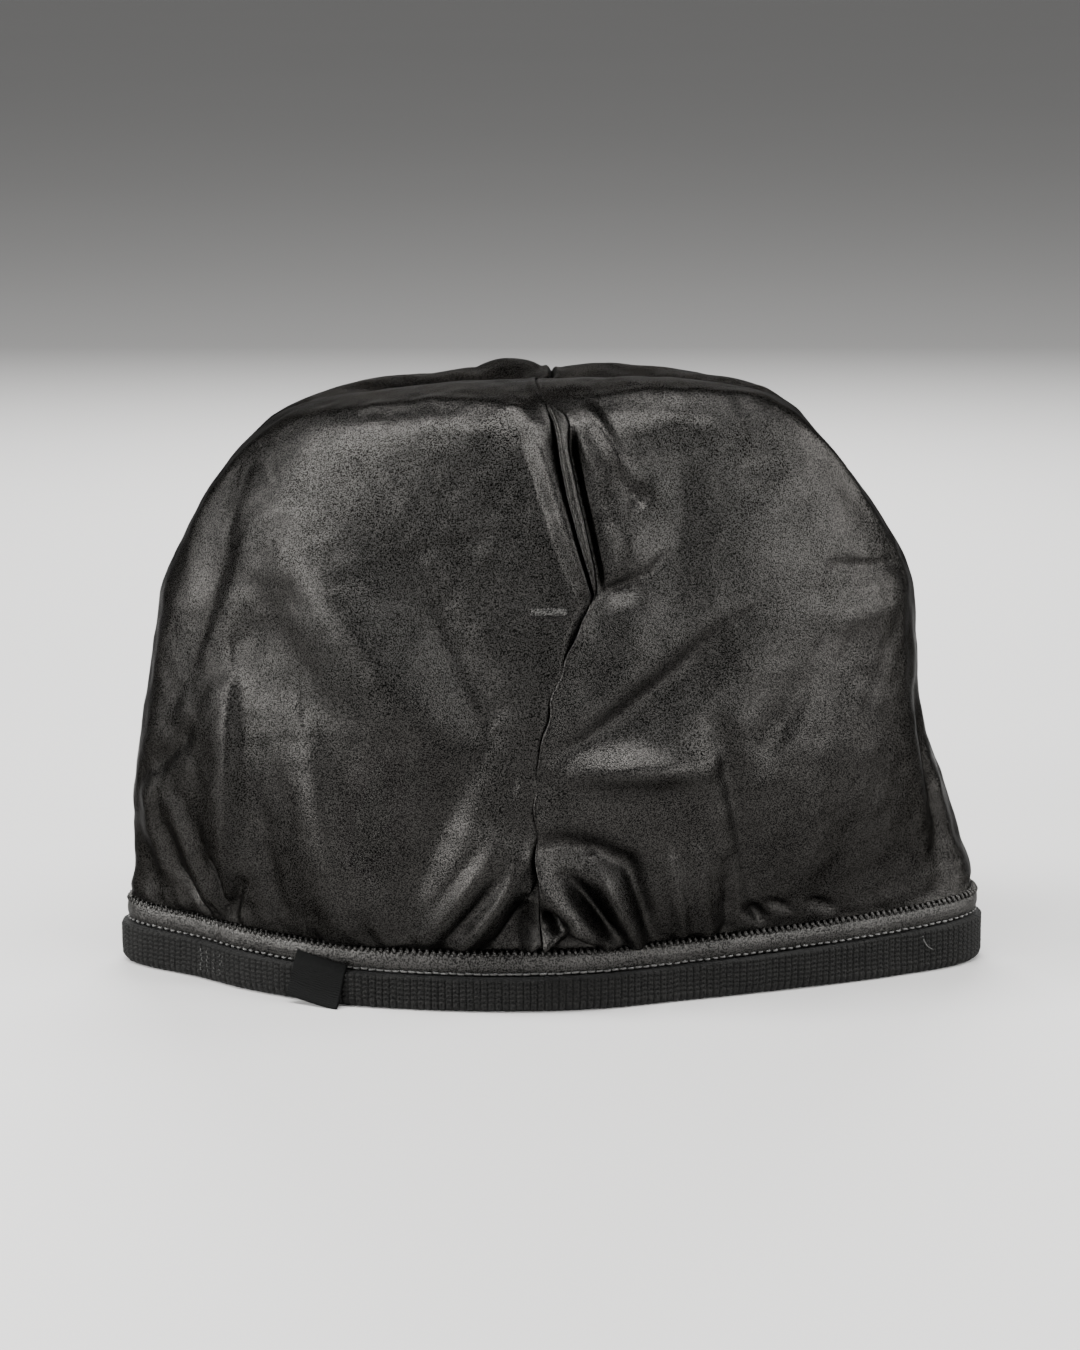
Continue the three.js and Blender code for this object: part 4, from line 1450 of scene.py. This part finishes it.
@dataclass(frozen=True)
class KnitBand:
    """The turned rim of rib knit that carries the hat, in real wales and courses.

    The lip's rows, tucked in under the roll, have an inset, a depth below the band's top and a
    share of the relief. The foot's rows, round under the band and up its inner face, have an
    inset, a height and a share of the relief.
    """

    wales: int = 288
    columns_per_wale: int = 6
    course: float = 1.35
    rib: float = 0.5
    stitch: float = 0.3
    furrow: float = 1.5
    cleft: Place = (0.6, 0.2)
    bind: float = 0.25
    slant: float = 0.45
    plumpness: Place = (0.8, 1.2)
    stagger: float = 0.18
    bulges: Waves = Waves(0.3, 30, seed=SEED + 10)
    bulge_rise: Place = (0, 6)
    lip: tuple[Triple, ...] = ((5.0, 0.05, 0), (2.2, 0.1, 0.2))
    edge_inset: float = 0.9
    edge_share: float = 0.8
    edge_drop: float = 0.3
    face_rows: int = 36
    face_inset: float = 0.3
    face_foot: float = 2.6
    foot: tuple[Triple, ...] = (
        (0.55, 1.5, 1), (1.1, 0.6, 1), (2.0, 0.12, 0.7), (3.2, 0.12, 0.4), (4.2, 0.35, -0.5),
        (4.8, 1.2, -0.9), (5.0, 2.6, -1), (5.0, 5.2, -1), (5.0, 8.4, -1),
    )  # fmt: skip
    girth: float = 577

    def relief(self, angle_count: int, height: Points) -> Points:
        """Outward relief of the knit.

        Args:
            angle_count: Columns round the rim.
            height: Height of each place of the grid.

        Returns:
            Relief of each place: each wale is two leaning legs of stitches with a furrow between.
        """
        rng = np.random.default_rng(SEED + 9)
        column = np.arange(angle_count) * self.wales / angle_count
        wale = column.astype(int) % self.wales
        leg = np.abs((column % 1)[:, None] - 0.5) * 2
        depth, width = self.cleft
        rib = 1 - self.furrow * leg**4 - depth * bell(leg, width)
        plump = rng.uniform(*self.plumpness, self.wales)[wale][:, None]
        shift = rng.uniform(-self.stagger, self.stagger, self.wales)[wale][:, None]
        beat = np.cos(2 * math.pi * (height / self.course + shift + self.slant * leg))
        return self.rib * plump * rib + self.stitch * beat * (1 - bell(leg - 1, self.bind))

    def build(self) -> bpy.types.Object:
        """Builds the band.

        Returns:
            The finished piece.
        """
        count = self.wales * self.columns_per_wale
        angle = HAT.rim_angles(count)[:, None]
        top = HAT.band_height + HAT.hem_rise(HAT.outline(angle[:, 0])[:, 0])[:, None]
        # From the tucked lip down the outer face, under the foot and up the inner face.
        face = np.linspace(1, 0, self.face_rows)[None] * (top - self.edge_drop - self.face_foot)
        lip = [top - below for _, below, _ in self.lip]
        foot = [np.full_like(angle, z) for _, z, _ in self.foot]
        height = np.concatenate([*lip, face + self.face_foot, *foot], 1)
        plain = self.face_rows - 1
        inset = [row[0] for row in self.lip] + [self.edge_inset] + [self.face_inset] * plain
        shown = [row[2] for row in self.lip] + [self.edge_share] + [1] * plain
        inset = np.array(inset + [row[0] for row in self.foot])[None]
        shown = np.array(shown + [row[2] for row in self.foot])
        relief = self.relief(count, height) * shown
        bulge = self.bulges.at(HAT.rim_point(angle, 0.0, 0.0)) * ease(*self.bulge_rise, height)
        builder = MeshBuilder()
        around = np.arange(count)[:, None] * self.girth / count / CM
        cloth = np.stack(np.broadcast_arrays(around, height / CM), -1)
        ring = HAT.rim_point(angle, inset - relief - bulge, height)
        builder.fill_ring(builder.add_grid(ring, cloth), turned=True)
        return dress(builder.to_object("knit_band", FINISHES["knit"]), "knit", "knit_shell")


@dataclass(frozen=True)
class KnitBody:
    """The knit beanie inside the lining: its ribbed inner face is seen from below.

    It keeps clear of the satin by gap, and sinks with the satin's dents that are wider than
    wide_dent. Both faces close on a point under the crown.
    """

    wales: int = KnitBand.wales
    columns_per_wale: int = 2
    rows: int = 56
    gap: float = 6.2
    thickness: float = 2.4
    rib: float = 0.35
    rib_fade: float = 4
    wide_dent: float = 5
    rim_inset: float = 5.6
    rim_above: float = 2.0
    crown_tops: Place = (10.0, 12.6)
    knit_height: float = 20

    def build(self) -> bpy.types.Object:
        """Builds the body.

        Returns:
            The finished piece.
        """
        count = self.wales * self.columns_per_wale
        angle = HAT.rim_angles(count)[None]
        level = np.linspace(0, TOP_LEVEL, self.rows)[:, None]
        base = HAT.satin(angle, level)
        around = np.roll(base, -1, 1) - np.roll(base, 1, 1)
        normal = unit(np.cross(around, np.gradient(base, axis=0)))
        rib = self.rib * np.where(np.arange(count) % 2, 1, -1)[None, :, None]
        fade = (1 - ease(TOP_LEVEL - self.rib_fade, TOP_LEVEL, level))[..., None]
        points, normals = base.reshape(-1, 3), normal.reshape(-1, 3)
        dent = np.zeros(len(points))
        for fold in FOLDS:
            if fold.height < 0 and fold.width > self.wide_dent:
                dent = np.minimum(dent, LaidFold.lay(fold, points, normals).height(points))
        sink = self.gap + SatinHalf.thickness - dent.reshape(base.shape[:2])[..., None]
        rim = HAT.hem_point(angle, self.rim_inset, self.rim_above)
        inner_rim = HAT.hem_point(angle, self.rim_inset + self.thickness, self.rim_above)
        faces = (rim, base - normal * sink), (
            inner_rim + HAT.outward(angle) * rib[0],
            base - normal * (sink + self.thickness) + normal * rib * fade,
        )
        builder = MeshBuilder()
        skins = []
        for (foot, wall), below, turned in zip(faces, self.crown_tops, (False, True)):
            top = np.broadcast_to(np.array(CROWN_TOP) - (0, 0, below), (1, count, 3))
            grid = np.concatenate([foot, wall, top])
            across = np.broadcast_to(np.arange(count)[None] / CM, grid.shape[:2])
            up = np.broadcast_to(np.linspace(0, self.knit_height, len(grid))[:, None], grid.shape[:2])
            skins.append(builder.add_grid(grid, np.stack([across, up], -1)))
            builder.fill_tube(skins[-1], turned)
        outer, inner = skins
        builder.fill_tube(np.stack([inner[0], outer[0]]))
        return dress(builder.to_object("knit_body", FINISHES["knit"]), "knit", "knit_shell")


@dataclass(frozen=True)
class FoldedTab:
    """The small woven tab: a tape folded double that hangs from under the roll, bare.

    profile runs down the front leaf, as how far it stands out and its height. The tab leans by
    lean of its width about lean_height, and its sides curl out below curl_height.
    """

    width: float = 19.2
    angle: float = FRONT - 0.568
    rim_radius: float = 118.0
    tape: float = 0.4
    half_gap: float = 0.26
    profile: tuple[Place, ...] = (
        (-0.5, 13.6), (-0.1, 12.4), (0.8, 10.6), (1.5, 8.0), (2.2, 4.6), (3.4, 1.6),
    )  # fmt: skip
    lean: float = 0.15
    lean_height: float = 11
    curl: float = 0.35
    curl_height: float = 6
    lowest: float = 0.15
    columns: int = 40
    rows: int = 34
    bend_rows: int = 5
    row_length: float = 0.35

    def build(self) -> bpy.types.Object:
        """Builds the tab.

        Returns:
            The finished piece.
        """
        t = np.linspace(0, len(self.profile) - 1, self.rows)
        front = np.stack([through_four(np.array(part, float), t) for part in zip(*self.profile)], 1)
        along = unit(np.gradient(front, axis=0))
        outward = np.stack([-along[:, 1], along[:, 0]], 1)
        # Down the front, round the fold and back up behind it.
        back = (front - outward * 2 * self.half_gap)[::-1]
        bend = np.linspace(0, math.pi, self.bend_rows + 2)[1:-1, None]
        turn = np.cos(bend) * outward[-1] + np.sin(bend) * along[-1]
        fold = front[-1] - outward[-1] * self.half_gap + self.half_gap * turn
        path = np.concatenate([front, fold, back])
        run = unit(np.gradient(path, axis=0))
        side = np.stack([-run[:, 1], run[:, 0]], 1)
        share = np.linspace(-0.5, 0.5, self.columns + 1)[None]
        down = (np.arange(len(path)) * self.row_length / CM)[:, None]
        cloth = np.stack(np.broadcast_arrays(share * self.width / CM, down), -1)
        builder = MeshBuilder()
        skins = []
        for offset in (self.tape / 2, -self.tape / 2):
            skin = path + side * offset
            out, z = skin[:, :1], skin[:, 1:]
            across = share * self.width
            angle = self.angle + (across - (self.lean_height - z) * self.lean) / self.rim_radius
            low = np.clip((self.curl_height - z) / self.curl_height, 0, 1)
            curl = self.curl * np.abs(share * 2) ** 3 * low
            height = np.maximum(z - across * self.lean, self.lowest)
            skins.append(builder.add_grid(HAT.rim_point(angle, -(out + curl), height), cloth))
        outer, inner = skins
        builder.fill(outer)
        builder.fill(inner, turned=True)
        for row, turned in ((0, True), (-1, False)):
            builder.fill(np.stack([outer[row], inner[row]]), turned)
            builder.fill(np.stack([outer[:, row], inner[:, row]]), not turned)
        tab = builder.to_object("folded_tab", FINISHES["woven_tape"])
        return dress(tab, "woven_label", "hem_label")


@dataclass(frozen=True)
class BarTack:
    """The short dense bar of thread under the dart's tip."""

    left: float = -5.6
    right: float = 3.8
    z: float = 116.7
    height: float = 2.2
    threads: int = 26
    radius: float = 0.3
    sides: int = 7
    steps: int = 7
    stray: float = 0.12
    lean: float = 0.2
    lift: float = 0.3
    sink: float = 0.12
    cloth_within: float = 4
    cloth_front: float = -40
    cloth_places: int = 6

    def build(self) -> bpy.types.Object:
        """Builds the tack.

        Returns:
            The finished piece.
        """
        surface = bpy.data.objects["lining_left"].data
        points = np.zeros(len(surface.vertices) * 3)
        surface.vertices.foreach_get("co", points)
        points = (points.reshape(-1, 3) - HAT.place(np.zeros(3))) / MM
        close = np.abs(points[:, 2] - self.z) < self.cloth_within
        points = points[close & (points[:, 1] < self.cloth_front)]

        def on_cloth(x: float, z: float) -> float:
            """y of the cloth at a place of the front."""
            near = np.argsort(np.hypot(points[:, 0] - x, points[:, 2] - z))[: self.cloth_places]
            return float(points[near, 1].min())

        builder = MeshBuilder()
        rng = np.random.default_rng(SEED + 12)
        share = np.linspace(-1, 1, self.steps)
        lift = self.lift * (1 - share**4) - self.sink
        for x in np.linspace(self.left, self.right, self.threads):
            zs = self.z + rng.uniform(-self.stray, self.stray) + share * self.height / 2
            xs = x + share * (self.lean + rng.uniform(-self.lean, self.lean))
            ys = [on_cloth(*place) - out for *place, out in zip(xs, zs, lift)]
            tube(builder, np.stack([xs, ys, zs], 1), np.full(self.steps, self.radius), self.sides)
        return dress(builder.to_object("bar_tack", FINISHES["roll_satin"]), "satin")


@dataclass(frozen=True)
class Strand:
    """A fine strand on the band, bowed over the knit, each place an x and a height."""

    start: Place
    via: Place
    end: Place


@dataclass(frozen=True)
class LooseThreads:
    """Single strands on the knit band: the pale stitches at its join, and two stray ends."""

    radius: float = 0.14
    sides: int = 5
    steps: int = 7
    lift: float = 0.3
    sink: float = 0.25
    join_x: float = -101.5
    join_height: float = 3.6
    columns: int = 4
    rows: int = 5
    column_pitch: float = 1.9
    row_pitch: float = 1.3
    half_length: float = 0.4
    stray: Place = (0.25, 0.2)
    lean: float = 0.2
    loose: tuple[Strand, ...] = (
        Strand((108.2, 11.2), (108.6, 7.6), (112.0, 6.6)),
        Strand((-94.5, 9.6), (-95.4, 7.4), (-94.6, 5.6)),
    )

    def build(self) -> bpy.types.Object:
        """Builds the strands.

        Returns:
            The finished piece.
        """
        rng = np.random.default_rng(SEED + 14)
        strands = []
        for place in range(self.columns * self.rows):
            column, row = divmod(place, self.rows)
            offset = [rng.uniform(-stray, stray) for stray in self.stray]
            x = self.join_x + column * self.column_pitch + offset[0]
            z = self.join_height + row * self.row_pitch + offset[1]
            top = x + rng.uniform(-self.lean, self.lean)
            strands.append(Strand((x, z - self.half_length), (top, z), (top, z + self.half_length)))
        builder = MeshBuilder()
        lift = self.lift * np.sin(math.pi * np.linspace(0, 1, self.steps)) - self.sink
        for strand in (*strands, *self.loose):
            bow = bowed(strand.start, strand.via, strand.end, self.steps)
            angle = np.array([HAT.front_angle(x) for x in bow[:, 0]])
            path = HAT.rim_point(angle, -lift, bow[:, 1])
            tube(builder, path, np.full(self.steps, self.radius), self.sides)
        return dress(builder.to_object("loose_threads", FINISHES["thread"]), "satin")


# ---- Studio -----------------------------------------------------------------------------------


def stand(obj: bpy.types.Object, target: Vector, bearing: float, height: float, away: float) -> None:
    """Stands a light or the camera off from a target, facing it.

    Args:
        obj: The light or camera.
        target: What it faces.
        bearing: Degrees round from the front, to the right.
        height: Degrees up from the floor.
        away: How far off it stands, in metres.
    """
    turn, rise = math.radians(bearing), math.radians(height)
    level = math.cos(rise)
    direction = Vector((math.sin(turn) * level, -math.cos(turn) * level, math.sin(rise)))
    obj.location = target + direction * away
    obj.rotation_euler = direction.to_track_quat("Z", "Y").to_euler()
    bpy.context.scene.collection.objects.link(obj)


@dataclass(frozen=True)
class SoftLight:
    """A soft box of light.

    bearing and height are degrees round from the front, to the right, and up from the floor.
    """

    name: str
    bearing: float
    height: float
    away: float
    size: Place
    power: float

    def build(self, target: Vector) -> None:
        """Places the light.

        Args:
            target: What it faces.
        """
        data = bpy.data.lights.new(self.name, "AREA")
        data.shape = "RECTANGLE"
        data.size, data.size_y = self.size
        data.energy = self.power
        stand(bpy.data.objects.new(self.name, data), target, self.bearing, self.height, self.away)


@dataclass(frozen=True)
class Studio:
    """A plain pale floor, soft light and the camera."""

    floor_size: float = 16.0
    floor_tone: Colour = (0.4, 0.395, 0.389)
    floor_light: float = 1.04
    floor_cloud: float = 600
    floor_rough: float = 0.8
    sky: float = 0.3
    camera_away: float = 1.14
    camera_height: float = 12.0
    focal_length: float = 104.83
    aim: Triple = (-0.0038, 0.0, 0.0864)
    lights: tuple[SoftLight, ...] = (
        SoftLight("overhead", 0, 66, 1.2, (0.8, 0.16), 24),
        SoftLight("behind", 180, 30, 1.2, (0.9, 0.3), 26),
        SoftLight("upper_left", -66, 54, 1.2, (0.42, 0.26), 20),
        SoftLight("upper_right", 52, 56, 1.2, (0.3, 0.24), 6),
        SoftLight("left_flank", -86, 14, 1.2, (0.34, 0.46), 9),
        SoftLight("right_flank", 96, 17, 1.2, (0.4, 0.5), 15),
        SoftLight("left_box", -54, 12, 1.2, (0.26, 0.46), 19),
        SoftLight("right_box", 60, 9, 1.2, (0.26, 0.36), 9),
        SoftLight("front_left", -26, 20, 1.3, (0.3, 0.3), 4),
        SoftLight("front_right", 34, 5, 1.3, (0.24, 0.2), 6.5),
    )

    def build(self) -> None:
        """Builds the floor, the lights, the world and the camera."""
        self._floor()
        target = Vector(self.aim)
        for light in self.lights:
            light.build(target)
        world = bpy.data.worlds.new("studio")
        world.use_nodes = True
        background = world.node_tree.nodes["Background"]
        set_inputs(background, {"Color": (1, 1, 1, 1), "Strength": self.sky})
        bpy.context.scene.world = world
        data = bpy.data.cameras.new("camera")
        data.lens = self.focal_length
        camera = bpy.data.objects.new("camera", data)
        stand(camera, target, 0, self.camera_height, self.camera_away)
        bpy.context.scene.camera = camera

    def _floor(self) -> None:
        """The floor."""
        half = self.floor_size / 2
        mesh = bpy.data.meshes.new("floor")
        corners = [(-half, -half, 0), (half, -half, 0), (half, half, 0), (-half, half, 0)]
        mesh.from_pydata(corners, [], [(0, 1, 2, 3)])
        material = bpy.data.materials.new("pale_floor")
        material.use_nodes = True
        nodes, links = material.node_tree.nodes, material.node_tree.links
        grain = nodes.new("ShaderNodeGroup")
        grain.node_tree = EFFECTS.grain
        grain.inputs["Cloud Size"].default_value = self.floor_cloud
        tone = nodes.new("ShaderNodeMix")
        tone.data_type = "RGBA"
        lighter = [share * self.floor_light for share in self.floor_tone]
        set_inputs(tone, {"A": (*self.floor_tone, 1), "B": (*lighter, 1)})
        links.new(grain.outputs["Cloud"], tone.inputs["Factor"])
        shader = nodes["Principled BSDF"]
        links.new(tone.outputs["Result"], shader.inputs["Base Color"])
        shader.inputs["Roughness"].default_value = self.floor_rough
        mesh.materials.append(material)
        floor = bpy.data.objects.new("floor", mesh)
        bpy.context.scene.collection.objects.link(floor)


# ---- The hat ----------------------------------------------------------------------------------


def main() -> None:
    """Builds every piece of the hat, and the studio."""
    SatinHalf("lining_left", "satin_left", Half.LEFT).build()
    SatinHalf("lining_right", "satin_right", Half.RIGHT).build()
    HemRoll().build()
    RollStitching().build()
    KnitBand().build()
    KnitBody().build()
    FoldedTab().build()
    BarTack().build()
    LooseThreads().build()
    Studio().build()


if __name__ == "__main__":
    main()
